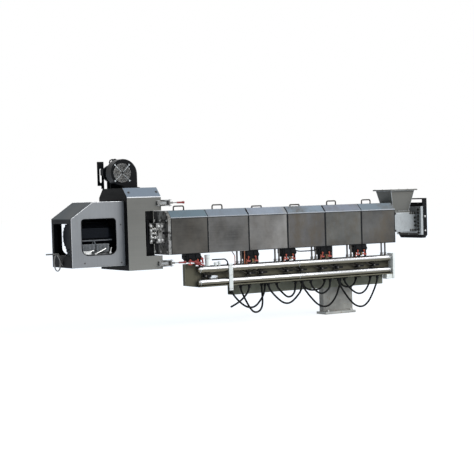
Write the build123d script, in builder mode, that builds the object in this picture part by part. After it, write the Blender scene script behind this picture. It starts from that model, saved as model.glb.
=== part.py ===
from build123d import *
from math import radians, tan
import os

os.makedirs("parts", exist_ok=True)

# Millimetres. +X runs from the die to the feed end, +Y away from the operator, +Z up.
# The origin is the middle of the underside of the pedestal's foot plate.

# Process line
axis_height = 963
line_start_x = -2136
cover_count = 6
cover_pitch = 480
first_cover_length = 426
last_cover_length = 462
seam_gap = 6

# Covers
cover_depth = 440
cover_drop = 218
cover_rise = 152
cover_bevel = 66
cover_sheet = 4
handle_length = 130
handle_heights = (50, 50, 24, 24, 50, 50)
handle_bar = 12

# Barrel
barrel_size = 216
barrel_flange = 300
barrel_flange_thickness = 64
barrel_chamfer = 12

# Feed end
feed_length = 365
feed_depth = 260
throat_length = 170
throat_width = 130
throat_depth = 110
throat_corner = 20
hopper_top_length = 326
hopper_top_depth = 270
hopper_base_length = 214
hopper_base_depth = 190
hopper_height = 230
hopper_sheet = 4
hopper_rim = 26
hopper_flange = 14
hopper_base_rim = 15
feed_plate_height = 318
feed_plate_thickness = 30
feed_plate_shift = 10
end_frame_drop = 186
end_frame_height = 398
end_frame_thickness = 57
end_frame_corner = 36
end_loop_height = 49
end_loop_bar = 14

# Die hood
hood_length = 369
hood_depth = 624
hood_drop = 346
hood_rise = 365
hood_bevel = 90
hood_sheet = 6
hood_gap = 150
notch_length = 179
notch_low = 215
notch_high = 227
wall_slot = 6
die_length = 200
die_depth = 300
die_height = 197
die_flange_thickness = 30
neck_length = 44
neck_waist = 36
stud_pitch = 42
stud_diameter = 18
nut_height = 16

# Cutter guard
guard_length = 557
guard_depth = 470
guard_drop = 295
guard_rise = 327
guard_sheet = 6
guard_chamfer_run = 229
guard_chamfer_drop = 154
front_window_length = 362
back_window_length = 250
window_height = 347
window_left = 105
window_sill = 115
window_corner = 35
window_cut = 40
end_tube = 40
end_sill = 104
motor_diameter = 270
motor_length = 400
motor_rim = 12
motor_set_back = 28
motor_nose = 170
fin_count = 18
fin_width = 5
cutter_shaft_hole = 60
shaft_diameter = 44
rail_y = 150
rail_size = 20
slide_block_length = 134
slide_block_width = 80
slide_block_height = 79
slide_block_gap = 13
carriage_shift = 60
cradle_width = 225
cradle_drop = 110
motor_seat = 0.3
shelf_drop = 45
shelf_lead = 30
shelf_length = 362
shelf_bar = 10
clamp_arm_length = 120
clamp_arm_width = 18
clamp_arm_tilt = 28
clamp_arm_drop = 34
clamp_arm_sheet = 8
release_bar = 14
release_reach = 166
release_bend_reach = 46
release_rise = 34
release_lift = 100
loop_length = 84
loop_width = 74
loop_bar = 9
loop_shift = 6
chamber_size = 220
chamber_flange = 270
chamber_flange_thickness = 24

# Blower
blower_x = -2579
blower_rise = 150
scroll_radius = 122
scroll_step = 14
scroll_depth = 110
scroll_front = -70
scroll_sheet = 4
outlet_width = 145
inlet_radius = 88
impeller_radius = 104
impeller_gap = 7
impeller_sheet = 3
blade_count = 14
blade_width = 22
blade_lean = 25
hub_radius = 24
hub_recess = 20
shaft_radius = 12
shaft_clearance = 0.05
shaft_reach = 40
guard_ring = 92
guard_rings = 3
guard_sides = 24
guard_wire = 4
guard_arm = 234
guard_arm_width = 7
guard_bar = 8
blower_motor_diameter = 170
blower_motor_length = 165
blower_motor_fins = 16
blower_fin_depth = 6
blower_fin_width = 4
blower_cowl_length = 44
eye_radius = 36
eye_bar = 11
eye_sides = 8
eye_places = (0.3, 0.65)
motor_foot_width = 120
motor_foot_sheet = 8
motor_foot_places = (0.25, 0.7)
stand_plate_width = 70
stand_plate_height = 240
stand_plate_rise = 120
stand_plate_lap = 20
stand_slot_length = 140
stand_slot_width = 22
stand_leg_width = 30
stand_leg_height = 60

# Latches
latch_length = 150
latch_height = 56
latch_sheet = 4
latch_ear = 40
latch_ear_length = 80
latch_overhang = 100
latch_drop = 66
latch_lift = 54
latch_pin = 5
latch_pin_inset = 20
latch_pin_setback = 14
pin_clearance = 0.05
lever_length = 166
lever_radius = 6
lever_hub = 9
lever_sides = 8
grip_radius = 12
grip_length = 84

# Water manifold
pipe_diameter = 72
pipe_sides = 24
pipe_start_x = -1828
pipe_length = 2440
pipe_chamfer = 14
pipe_drop = 167
pipe_spacing = 132
pipe_y = -190
pipe_seat = 0.3
plate_sheet = 4
tray_drop = 343
plate_height = 210
plate_lip = 72
riser_diameter = 20
riser_pitch = 464
riser_spacing = 49
riser_start_x = -1338
riser_drop = 73
riser_count = 5
riser_sides = 6
strap_width = 44
strap_thickness = 8
strap_x = -1463
strap_overlap = 50
strap_height = 272
lip_height = 10
bracket_length = 150
bracket_height = 240
bracket_slope = 22
bracket_lip = 46
end_plate_overlap = 52
end_plate_height = 280
end_plate_width = 102
end_plate_thickness = 24
end_arm_height = 90
end_foot_length = 80
shutoff_spots = (-1746, -1222, -1076, -760, -577, -314, -111, 168, 378)
shutoff_diameter = 40
shutoff_reach = 44
shutoff_handle = 86
shutoff_handle_width = 20
shutoff_handle_thickness = 12
first_block_x = -1880
block_shift = 142
block_length = 170
block_depth = 100
block_height = 88
block_y = -160
block_gap = 2
post_radius = 14
post_inset = 10
plug_radius = 24
plug_reach = 15
plug_depth = 30
plug_y = -180
valve_hub = 14
valve_hub_drop = 66
valve_stem_width = 10
valve_stem_length = 46
valve_bar_length = 34
valve_bar_width = 10
lever_thickness = 10
stub_x = -1715
stub_diameter = 56
stub_sides = 12
stub_height = 110
vent_x = -1475
vent_rise = 93
vent_bend = 30
vent_length = 183
vent_radius = 8
vent_arc = 14
vent_sides = 6

# Hoses
hose_width = 18
arc_share = 0.45

# Base
beam_width = 90
beam_drop = 298
beam_height = 160
beam_wall = 8
beam_start_x = -1346
beam_end_x = 610
pedestal_width = 386
pedestal_depth = 80
foot_length = 396
foot_depth = 180
foot_thickness = 25
foot_bolt_x = 300
foot_bolt_y = 130
foot_bolt_hole = 18
support_width = 140
support_depth = 90
support_spots = (-1080, -130)

# Places worked out from the sizes above
cover_low = axis_height - cover_drop
cover_shoulder = axis_height + cover_rise
cover_top = cover_shoulder + cover_bevel
line_end_x = line_start_x + first_cover_length + (cover_count - 2) * cover_pitch + last_cover_length
feed_end_x = line_end_x + feed_length
hood_end_x = line_start_x - hood_gap
hood_start_x = hood_end_x - hood_length
hood_low = axis_height - hood_drop
hood_shoulder = axis_height + hood_rise
hood_top = hood_shoulder + hood_bevel
guard_end_x = hood_start_x
guard_start_x = guard_end_x - guard_length
guard_low = axis_height - guard_drop
guard_top = axis_height + guard_rise
barrel_low = axis_height - barrel_size / 2
barrel_high = axis_height + barrel_size / 2
flange_high = axis_height + barrel_flange / 2
upper_pipe_z = cover_low - pipe_drop
lower_pipe_z = upper_pipe_z - pipe_spacing
plate_low = cover_low - tray_drop
plate_high = plate_low + plate_height
beam_top = cover_low - beam_drop
beam_bottom = beam_top - beam_height


def cover_span(index):
    """Left and right ends of one cover, between its seams."""
    left = line_start_x
    if index > 0:
        left = line_start_x + first_cover_length + (index - 1) * cover_pitch
    length = cover_pitch
    if index == 0:
        length = first_cover_length
    if index == cover_count - 1:
        length = last_cover_length
    return left, left + length


def bevelled_outline(half, low, shoulder, bevel):
    """Section of a folded cover: straight sides and a bevel along each top edge."""
    with BuildSketch() as outline:
        with BuildLine():
            Polyline(
                (-half, low),
                (-half, shoulder),
                (bevel - half, shoulder + bevel),
                (half - bevel, shoulder + bevel),
                (half, shoulder),
                (half, low),
                close=True,
            )
        make_face()
    return outline.sketch


def save(piece, name):
    """Label one finished piece and write it."""
    piece.part.label = name
    export_step(piece.part, f"parts/{name}.step")


# Barrel train with a clamp flange at each seam
seams = [cover_span(i)[0] for i in range(cover_count)] + [line_end_x]
with BuildPart() as screw_barrel:
    with BuildSketch(Plane.YZ.offset(line_start_x)):
        with Locations((0, axis_height)):
            Rectangle(barrel_size, barrel_size)
    extrude(amount=line_end_x - line_start_x)
    for seam in seams:
        left = max(seam - barrel_flange_thickness / 2, line_start_x)
        right = min(seam + barrel_flange_thickness / 2, line_end_x)
        with BuildSketch(Plane.YZ.offset(left)):
            with Locations((0, axis_height)):
                flange = Rectangle(barrel_flange, barrel_flange)
            chamfer(flange.vertices(), barrel_chamfer)
        extrude(amount=right - left)
save(screw_barrel, "screw_barrel")

# Covers, folded sheet saddles that sit on the barrel flanges
for index in range(cover_count):
    left, right = cover_span(index)
    left += seam_gap / 2
    right -= seam_gap / 2
    with BuildPart() as cover:
        with BuildSketch(Plane.YZ.offset(left)):
            add(bevelled_outline(cover_depth / 2, cover_low, cover_shoulder, cover_bevel))
        extrude(amount=right - left)
        with BuildSketch(Plane.YZ.offset(left + cover_sheet)):
            add(bevelled_outline(
                cover_depth / 2 - cover_sheet, cover_low, cover_shoulder - 0.6 * cover_sheet,
                cover_bevel - 0.4 * cover_sheet))
        extrude(amount=right - left - 2 * cover_sheet, mode=Mode.SUBTRACT)
        with BuildSketch(Plane.YZ.offset(left)):
            with Locations((0, cover_low)):
                Rectangle(barrel_flange + 2, flange_high - cover_low, align=(Align.CENTER, Align.MIN))
        extrude(amount=right - left, mode=Mode.SUBTRACT)
    save(cover, f"cover_{index + 1}")

# Bow handles on the flat tops of the covers
with BuildPart() as cover_handles:
    for index, height in enumerate(handle_heights):
        left, right = cover_span(index)
        with BuildSketch(Plane.XZ.offset(-handle_bar / 2)):
            with Locations(((left + right) / 2, cover_top)):
                bow = Rectangle(handle_length, height, align=(Align.CENTER, Align.MIN))
                chamfer(bow.vertices().group_by(Axis.Y)[-1], handle_bar)
                Rectangle(
                    handle_length - 2 * handle_bar, height - handle_bar,
                    align=(Align.CENTER, Align.MIN), mode=Mode.SUBTRACT)
        extrude(amount=handle_bar)
save(cover_handles, "cover_handles")

# Feed barrel with its throat
with BuildPart() as feed_barrel:
    with BuildSketch(Plane.YZ.offset(line_end_x)):
        with Locations((0, axis_height)):
            RectangleRounded(feed_depth, barrel_size, 10)
    extrude(amount=feed_length)
    with BuildSketch(Plane.XY.offset(barrel_high)):
        with Locations((line_end_x + feed_length / 2, 0)):
            RectangleRounded(throat_length, throat_width, throat_corner)
    extrude(amount=-throat_depth, mode=Mode.SUBTRACT)
save(feed_barrel, "feed_barrel")

# Hopper: an open funnel on a flange
hopper_x = line_end_x + feed_length / 2
funnel_low = barrel_high + hopper_flange
funnel_high = funnel_low + hopper_height


def trapezoid(base, top):
    """Side outline of the funnel, wider at the top."""
    with BuildSketch() as outline:
        with BuildLine():
            Polyline(
                (-base / 2, 0),
                (-top / 2, hopper_height),
                (top / 2, hopper_height),
                (base / 2, 0),
                close=True,
            )
        make_face()
    return outline.sketch


def funnel(wall):
    """Body of the funnel drawn inside a wall, where its two side outlines cross."""
    with BuildPart() as body:
        with BuildSketch(Plane(origin=(hopper_x, 0, funnel_low), x_dir=(1, 0, 0), z_dir=(0, -1, 0))):
            add(trapezoid(hopper_base_length - 2 * wall, hopper_top_length - 2 * wall))
        extrude(amount=hopper_top_length, both=True)
        with BuildSketch(Plane(origin=(hopper_x, 0, funnel_low), x_dir=(0, 1, 0), z_dir=(1, 0, 0))):
            add(trapezoid(hopper_base_depth - 2 * wall, hopper_top_depth - 2 * wall))
        extrude(amount=hopper_top_length, both=True, mode=Mode.INTERSECT)
    return body.part


funnel_shell = funnel(0)
funnel_space = funnel(hopper_sheet)
with BuildPart() as hopper:
    with BuildSketch(Plane.XY.offset(barrel_high)):
        with Locations((hopper_x, 0)):
            Rectangle(hopper_base_length + 2 * hopper_base_rim, hopper_base_depth + 2 * hopper_base_rim)
    extrude(amount=hopper_flange)
    add(funnel_shell)
    with BuildSketch(Plane.XY.offset(funnel_high)):
        with Locations((hopper_x, 0)):
            Rectangle(hopper_top_length + 2 * hopper_rim, hopper_top_depth + 2 * hopper_rim)
    extrude(amount=hopper_flange)
    add(funnel_space, mode=Mode.SUBTRACT)
    with BuildSketch(Plane.XY.offset(funnel_high)):
        with Locations((hopper_x, 0)):
            Rectangle(hopper_top_length - 2 * hopper_sheet, hopper_top_depth - 2 * hopper_sheet)
    extrude(amount=hopper_flange, mode=Mode.SUBTRACT)
    with BuildSketch(Plane.XY.offset(barrel_high)):
        with Locations((hopper_x, 0)):
            RectangleRounded(throat_length, throat_width, throat_corner)
    extrude(amount=hopper_flange, mode=Mode.SUBTRACT)
save(hopper, "hopper")

# Feed plate and the black end frame behind it
with BuildPart() as feed_plate:
    with BuildSketch(Plane.YZ.offset(feed_end_x)):
        with Locations((0, axis_height + feed_plate_shift)):
            Rectangle(cover_depth, feed_plate_height)
    extrude(amount=feed_plate_thickness)
save(feed_plate, "feed_plate")

end_frame_x = feed_end_x + feed_plate_thickness
end_frame_low = axis_height - end_frame_drop
with BuildPart() as end_frame:
    with BuildSketch(Plane.YZ.offset(end_frame_x)):
        with Locations((0, end_frame_low)):
            frame = Rectangle(cover_depth, end_frame_height, align=(Align.CENTER, Align.MIN))
        chamfer(frame.vertices().group_by(Axis.Y)[0], end_frame_corner)
    extrude(amount=end_frame_thickness)
    with BuildSketch(Plane.YZ.offset(end_frame_x)):
        with Locations((0, end_frame_low + end_frame_height)):
            Rectangle(cover_depth, end_loop_height, align=(Align.CENTER, Align.MIN))
            Rectangle(
                cover_depth - 2 * end_loop_bar, end_loop_height - end_loop_bar,
                align=(Align.CENTER, Align.MIN), mode=Mode.SUBTRACT)
    extrude(amount=end_frame_thickness)
save(end_frame, "end_frame")

# Die hood, its lower part cut open round both corners of the wall that faces the covers
with BuildPart() as die_hood:
    with BuildSketch(Plane.YZ.offset(hood_start_x)):
        add(bevelled_outline(hood_depth / 2, hood_low, hood_shoulder, hood_bevel))
    extrude(amount=hood_length)
    with BuildSketch(Plane.YZ.offset(hood_start_x + hood_sheet)):
        add(bevelled_outline(
            hood_depth / 2 - hood_sheet, hood_low, hood_shoulder - 0.6 * hood_sheet,
            hood_bevel - 0.4 * hood_sheet))
    extrude(amount=hood_length - 2 * hood_sheet, mode=Mode.SUBTRACT)
    with BuildSketch(Plane.YZ.offset(hood_end_x)):
        with Locations((0, axis_height - notch_low)):
            Rectangle(hood_depth, notch_low + notch_high, align=(Align.CENTER, Align.MIN))
            Rectangle(die_depth, notch_low + notch_high, align=(Align.CENTER, Align.MIN), mode=Mode.SUBTRACT)
        with Locations((0, axis_height)):
            Rectangle(die_depth + wall_slot, die_height + 2 * wall_slot)
    extrude(amount=-notch_length, mode=Mode.SUBTRACT)
    with BuildSketch(Plane.YZ.offset(hood_start_x)):
        with Locations((0, axis_height)):
            Circle(cutter_shaft_hole / 2)
    extrude(amount=hood_sheet, mode=Mode.SUBTRACT)
save(die_hood, "die_hood")

# Die head: a flange plate, a waisted neck, the adapter block and a bevelled plate on the barrel
die_start_x = line_start_x - die_length
neck_start_x = die_start_x + die_flange_thickness
block_start_x = neck_start_x + neck_length
with BuildPart() as die_head:
    for left, right, waist in (
        (die_start_x, neck_start_x, 0),
        (neck_start_x, block_start_x, neck_waist),
        (block_start_x, line_start_x, 0),
    ):
        with BuildSketch(Plane.YZ.offset(left)):
            with Locations((0, axis_height)):
                Rectangle(die_depth - 2 * waist, die_height - waist)
        extrude(amount=right - left)
    with BuildSketch(Plane.YZ.offset(line_start_x)):
        add(bevelled_outline(cover_depth / 2, cover_low, cover_shoulder, cover_bevel))
    extrude(amount=-die_flange_thickness)
save(die_head, "die_head")

# Studs across the neck, with a nut on the block side of each
with BuildPart() as die_studs:
    for side in (-1, 1):
        for row in (-1, 0, 1):
            place = (side * (die_depth / 2 - neck_waist / 2), axis_height + row * stud_pitch)
            with BuildSketch(Plane.YZ.offset(neck_start_x)):
                with Locations(place):
                    RegularPolygon(stud_diameter / 2, 6)
            extrude(amount=neck_length)
            with BuildSketch(Plane.YZ.offset(block_start_x - nut_height)):
                with Locations(place):
                    RegularPolygon(stud_diameter * 0.95, 6)
            extrude(amount=nut_height)
save(die_studs, "die_studs")

# Cutter chamber between the hood wall and the die head
chamber_start_x = hood_start_x + hood_sheet
chamber_end_x = line_start_x - die_length
with BuildPart() as cutter_chamber:
    with BuildSketch(Plane.YZ.offset(chamber_start_x)):
        with Locations((0, axis_height)):
            Rectangle(chamber_size, chamber_size)
            Circle(cutter_shaft_hole / 2, mode=Mode.SUBTRACT)
    extrude(amount=chamber_end_x - chamber_start_x)
    for left in (chamber_start_x, chamber_end_x - chamber_flange_thickness):
        with BuildSketch(Plane.YZ.offset(left)):
            with Locations((0, axis_height)):
                Rectangle(chamber_flange, chamber_flange)
                Circle(cutter_shaft_hole / 2, mode=Mode.SUBTRACT)
        extrude(amount=chamber_flange_thickness)
save(cutter_chamber, "cutter_chamber")

# Cutter guard: two side sheets and a bent roof
guard_half = guard_depth / 2


def window_outline(length):
    """Window in a side of the guard, rounded above and cut off at its lower corners."""
    left = guard_start_x + window_left
    low = guard_low + window_sill
    with BuildSketch() as outline:
        with BuildLine():
            Polyline(
                (left, low + window_cut),
                (left, low + window_height),
                (left + length, low + window_height),
                (left + length, low + window_cut),
                (left + length - window_cut, low),
                (left + window_cut, low),
                close=True,
            )
        make_face()
        fillet(outline.vertices().group_by(Axis.Y)[-1], window_corner)
    return outline.sketch


def guard_side(y_outer, window_length, name):
    """One side sheet of the guard with its sloping corner and its window."""
    with BuildPart() as side:
        with BuildSketch(Plane.XZ.offset(-y_outer)):
            with BuildLine():
                Polyline(
                    (guard_start_x, guard_low),
                    (guard_start_x, guard_top - guard_chamfer_drop),
                    (guard_start_x + guard_chamfer_run, guard_top),
                    (guard_end_x, guard_top),
                    (guard_end_x, guard_low),
                    close=True,
                )
            make_face()
            add(window_outline(window_length), mode=Mode.SUBTRACT)
        extrude(amount=guard_sheet)
    save(side, name)


guard_side(guard_half, back_window_length, "guard_back")
guard_side(guard_sheet - guard_half, front_window_length, "guard_front")

with BuildPart() as guard_roof:
    with BuildSketch(Plane.XZ.offset(guard_half - guard_sheet)):
        with BuildLine():
            Polyline(
                (guard_start_x, guard_top - guard_chamfer_drop),
                (guard_start_x + guard_chamfer_run, guard_top),
                (guard_end_x, guard_top),
                (guard_end_x, guard_top - guard_sheet),
                (guard_start_x + guard_chamfer_run + 0.3 * guard_sheet, guard_top - guard_sheet),
                (guard_start_x, guard_top - guard_chamfer_drop - 1.2 * guard_sheet),
                close=True,
            )
        make_face()
    extrude(amount=-(guard_depth - 2 * guard_sheet))
save(guard_roof, "guard_roof")

# Guard floor with the two rails that carry the cutter carriage
guard_inner = guard_half - guard_sheet
rail_low = guard_low + 2 * guard_sheet
with BuildPart() as guard_floor:
    with BuildSketch(Plane.XY.offset(guard_low)):
        with Locations((guard_start_x, 0)):
            Rectangle(guard_length, 2 * guard_inner, align=(Align.MIN, Align.CENTER))
    extrude(amount=2 * guard_sheet)
    for side in (-1, 1):
        with BuildSketch(Plane.XY.offset(rail_low)):
            with Locations((guard_end_x, side * rail_y)):
                Rectangle(guard_length - end_tube, rail_size, align=(Align.MAX, Align.CENTER))
        extrude(amount=rail_size)
save(guard_floor, "guard_floor")

# Frame of square tube round the open end of the guard
frame_low = rail_low
frame_high = guard_top - guard_chamfer_drop - 1.2 * guard_sheet
with BuildPart() as guard_end_frame:
    with BuildSketch(Plane.YZ.offset(guard_start_x)):
        with Locations((0, frame_low)):
            Rectangle(2 * guard_inner, frame_high - frame_low, align=(Align.CENTER, Align.MIN))
        with Locations((0, frame_low + end_sill)):
            Rectangle(
                2 * guard_inner - 2 * end_tube, frame_high - frame_low - end_sill - end_tube,
                align=(Align.CENTER, Align.MIN), mode=Mode.SUBTRACT)
    extrude(amount=end_tube)
save(guard_end_frame, "guard_end_frame")

# Cutter motor, finned, with a nose that meets the hood wall and a shaft into the chamber
motor_start_x = guard_start_x + end_tube + motor_set_back
with BuildPart() as cutter_motor:
    with BuildSketch(Plane.YZ.offset(motor_start_x)):
        with Locations((0, axis_height)):
            RegularPolygon(motor_diameter / 2 - motor_rim, fin_count)
            with PolarLocations(motor_diameter / 2 - motor_rim, fin_count):
                Rectangle(2 * motor_rim, fin_width)
    extrude(amount=motor_length)
    with BuildSketch(Plane.YZ.offset(motor_start_x + motor_length)):
        with Locations((0, axis_height)):
            RegularPolygon(motor_nose / 2, fin_count)
    extrude(amount=guard_end_x - motor_start_x - motor_length)
    with BuildSketch(Plane.YZ.offset(guard_end_x)):
        with Locations((0, axis_height)):
            Circle(shaft_diameter / 2)
    extrude(amount=hood_length / 2)
save(cutter_motor, "cutter_motor")

# Carriage on the rails: base, cradle, slide blocks, shelf and two clamp arms
carriage_low = rail_low + rail_size
carriage_start_x = motor_start_x + carriage_shift
carriage_length = 2 * slide_block_length + slide_block_gap
block_low = axis_height - motor_diameter / 2 - rail_size
shelf_z = axis_height - shelf_drop
with BuildPart() as cutter_carriage:
    with BuildSketch(Plane.YZ.offset(carriage_start_x)):
        with Locations((0, carriage_low)):
            Rectangle(2 * rail_y + 2 * rail_size, block_low - carriage_low, align=(Align.CENTER, Align.MIN))
            Rectangle(
                cradle_width, axis_height - cradle_drop - carriage_low, align=(Align.CENTER, Align.MIN))
        with Locations((0, axis_height)):
            Circle(motor_diameter / 2 + motor_seat, mode=Mode.SUBTRACT)
    extrude(amount=carriage_length)
    for side in (-1, 1):
        for shift in (0, slide_block_length + slide_block_gap):
            with BuildSketch(Plane.XY.offset(block_low)):
                with Locations((carriage_start_x + shift, side * rail_y)):
                    Rectangle(slide_block_length, slide_block_width, align=(Align.MIN, Align.CENTER))
            extrude(amount=slide_block_height)
        with BuildSketch(Plane.XY.offset(block_low + slide_block_height)):
            with Locations((carriage_start_x + slide_block_length, side * rail_y)):
                Rectangle(shelf_bar, shelf_bar, align=(Align.MAX, Align.CENTER))
        extrude(amount=shelf_z - block_low - slide_block_height)
        with BuildSketch(Plane.XY.offset(shelf_z)):
            with Locations((carriage_start_x - shelf_lead, side * rail_y)):
                Rectangle(shelf_length, shelf_bar, align=(Align.MIN, Align.CENTER))
        extrude(amount=shelf_bar)
    arm_plane = Plane.XZ.offset(rail_y + rail_size)
    with BuildSketch(arm_plane):
        for shift in (0.28, 0.72):
            with Locations((carriage_start_x + shift * carriage_length, block_low - clamp_arm_drop)):
                Rectangle(clamp_arm_length, clamp_arm_width, rotation=clamp_arm_tilt)
    extrude(amount=clamp_arm_sheet)
save(cutter_carriage, "cutter_carriage")

# Release lever at the open end of the guard, a bent bar with a ring that hangs from it
release_low = guard_low + release_rise
release_tip = (guard_start_x - release_reach, release_low + release_lift)
release_bend = (guard_start_x - release_bend_reach, release_low + release_lift)
release_foot = (guard_start_x, release_low)
with BuildPart() as release_lever:
    with BuildSketch(Plane.XZ.offset(-release_bar / 2)):
        with BuildLine():
            Polyline(
                (release_tip[0], release_tip[1] - release_bar / 2),
                (release_bend[0] - release_bar / 2, release_bend[1] - release_bar / 2),
                (release_foot[0], release_foot[1] - release_bar),
                (release_foot[0], release_foot[1] + release_bar),
                (release_bend[0] + release_bar / 2, release_bend[1] + release_bar / 2),
                (release_tip[0], release_tip[1] + release_bar / 2),
                close=True,
            )
        make_face()
    extrude(amount=release_bar)
    with BuildSketch(Plane.XZ.offset(-release_bar / 2)):
        with Locations((release_bend[0] - loop_shift, release_bend[1] - loop_length)):
            Ellipse(loop_width / 2, loop_length)
            Ellipse(loop_width / 2 - loop_bar, loop_length - loop_bar, mode=Mode.SUBTRACT)
    extrude(amount=release_bar)
save(release_lever, "release_lever")

# Blower on the hood
blower_z = hood_top + blower_rise
scroll_plane = Plane(origin=(blower_x, scroll_front, blower_z), x_dir=(1, 0, 0), z_dir=(0, -1, 0))


def volute_outline(wall):
    """Scroll of three growing quarter arcs with an outlet that faces down, drawn inside a wall."""
    first = scroll_radius - wall
    second = first + scroll_step
    third = second + scroll_step
    right = scroll_step + third
    left = right - outlet_width + 2 * wall
    with BuildSketch() as outline:
        with BuildLine():
            CenterArc((0, 0), first, 180, 90)
            CenterArc((scroll_step, 0), second, 90, 90)
            CenterArc((scroll_step, -scroll_step), third, 0, 90)
            Polyline(
                (right, -scroll_step),
                (right, hood_top - blower_z),
                (left, hood_top - blower_z),
                (left, -first),
                (0, -first),
            )
        make_face()
    return outline.sketch


with BuildPart() as blower_scroll:
    with BuildSketch(scroll_plane):
        add(volute_outline(0))
    extrude(amount=-scroll_depth)
    with BuildSketch(scroll_plane.offset(-scroll_sheet)):
        add(volute_outline(scroll_sheet))
    extrude(amount=2 * scroll_sheet - scroll_depth, mode=Mode.SUBTRACT)
    with BuildSketch(scroll_plane):
        RegularPolygon(inlet_radius, guard_sides)
    extrude(amount=-2 * scroll_sheet, mode=Mode.SUBTRACT)
    with BuildSketch(scroll_plane.offset(-scroll_depth)):
        Circle(shaft_radius + shaft_clearance)
    extrude(amount=2 * scroll_sheet, mode=Mode.SUBTRACT)
save(blower_scroll, "blower_scroll")

# Impeller: a drum of blades on a back plate, carried on the motor shaft
with BuildPart() as blower_impeller:
    back = scroll_depth - scroll_sheet - impeller_gap
    front = scroll_sheet + impeller_gap
    with BuildSketch(scroll_plane.offset(-back)):
        RegularPolygon(impeller_radius, 2 * blade_count)
    extrude(amount=impeller_sheet)
    with BuildSketch(scroll_plane.offset(-back)):
        RegularPolygon(hub_radius, blade_count)
    extrude(amount=back - front - hub_recess)
    with BuildSketch(scroll_plane.offset(-back)):
        with PolarLocations(impeller_radius - blade_width / 2, blade_count):
            Rectangle(blade_width, impeller_sheet, rotation=blade_lean)
    extrude(amount=back - front)
    with BuildSketch(scroll_plane.offset(-front)):
        RegularPolygon(impeller_radius, 2 * blade_count)
        RegularPolygon(impeller_radius - blade_width, 2 * blade_count, mode=Mode.SUBTRACT)
    extrude(amount=-impeller_sheet)
    with BuildSketch(scroll_plane.offset(-back)):
        Circle(shaft_radius)
    extrude(amount=back - scroll_depth - shaft_reach)
save(blower_impeller, "blower_impeller")

motor_plane = scroll_plane.offset(-scroll_depth)
with BuildPart() as blower_motor:
    with BuildSketch(motor_plane):
        RegularPolygon(blower_motor_diameter / 2 - blower_fin_depth, blower_motor_fins)
        with PolarLocations(blower_motor_diameter / 2 - blower_fin_depth, blower_motor_fins):
            Rectangle(2 * blower_fin_depth, blower_fin_width)
    extrude(amount=-blower_motor_length)
    with BuildSketch(motor_plane.offset(-blower_motor_length)):
        RegularPolygon(blower_motor_diameter / 2, 2 * blower_motor_fins)
    extrude(amount=blower_cowl_length)
    for back in eye_places:
        with BuildSketch(motor_plane.offset(-back * blower_motor_length)):
            with Locations((0, blower_motor_diameter / 2 + eye_radius - eye_bar)):
                RegularPolygon(eye_radius, eye_sides)
                RegularPolygon(eye_radius - eye_bar, eye_sides, mode=Mode.SUBTRACT)
        extrude(amount=eye_bar)
    with BuildSketch(motor_plane):
        Circle(shaft_radius + shaft_clearance)
    extrude(amount=-shaft_reach - 1, mode=Mode.SUBTRACT)
save(blower_motor, "blower_motor")

# Motor stand on the hood roof: two feet under the motor, and the slotted plate at its far end
motor_end = scroll_plane.offset(-scroll_depth - blower_motor_length)
with BuildPart() as motor_stand:
    for back in motor_foot_places:
        with BuildSketch(motor_plane.offset(-back * blower_motor_length)):
            Rectangle(motor_foot_width, blower_rise, align=(Align.CENTER, Align.MAX))
            Circle(blower_motor_diameter / 2 + motor_seat, mode=Mode.SUBTRACT)
        extrude(amount=motor_foot_sheet)
    plate_right = stand_plate_lap - blower_motor_diameter / 2
    with BuildSketch(motor_end):
        with Locations((plate_right, stand_plate_rise)):
            Rectangle(stand_plate_width, stand_plate_height, align=(Align.MAX, Align.MAX))
        with Locations((plate_right - stand_plate_width / 2, stand_plate_rise - 0.58 * stand_plate_height)):
            SlotOverall(stand_slot_length, stand_slot_width, rotation=90, mode=Mode.SUBTRACT)
        with Locations((plate_right, -blower_rise)):
            Rectangle(stand_leg_width, stand_leg_height, align=(Align.MAX, Align.MIN))
    extrude(amount=-motor_foot_sheet)
save(motor_stand, "motor_stand")

# Inlet guard of wire rings on a cross of two arms
with BuildPart() as blower_guard:
    with BuildSketch(scroll_plane):
        for ring in range(guard_rings):
            radius = guard_ring * (ring + 1) / guard_rings
            RegularPolygon(radius, guard_sides)
            RegularPolygon(radius - guard_wire, guard_sides, mode=Mode.SUBTRACT)
        Rectangle(guard_arm, guard_arm_width, rotation=45)
        Rectangle(guard_arm, guard_arm_width, rotation=-45)
    extrude(amount=guard_bar)
save(blower_guard, "blower_guard")

# Latches on the hood: a bracket with two ears and a lever on a pin between them
hood_front_y = -hood_depth / 2


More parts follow.
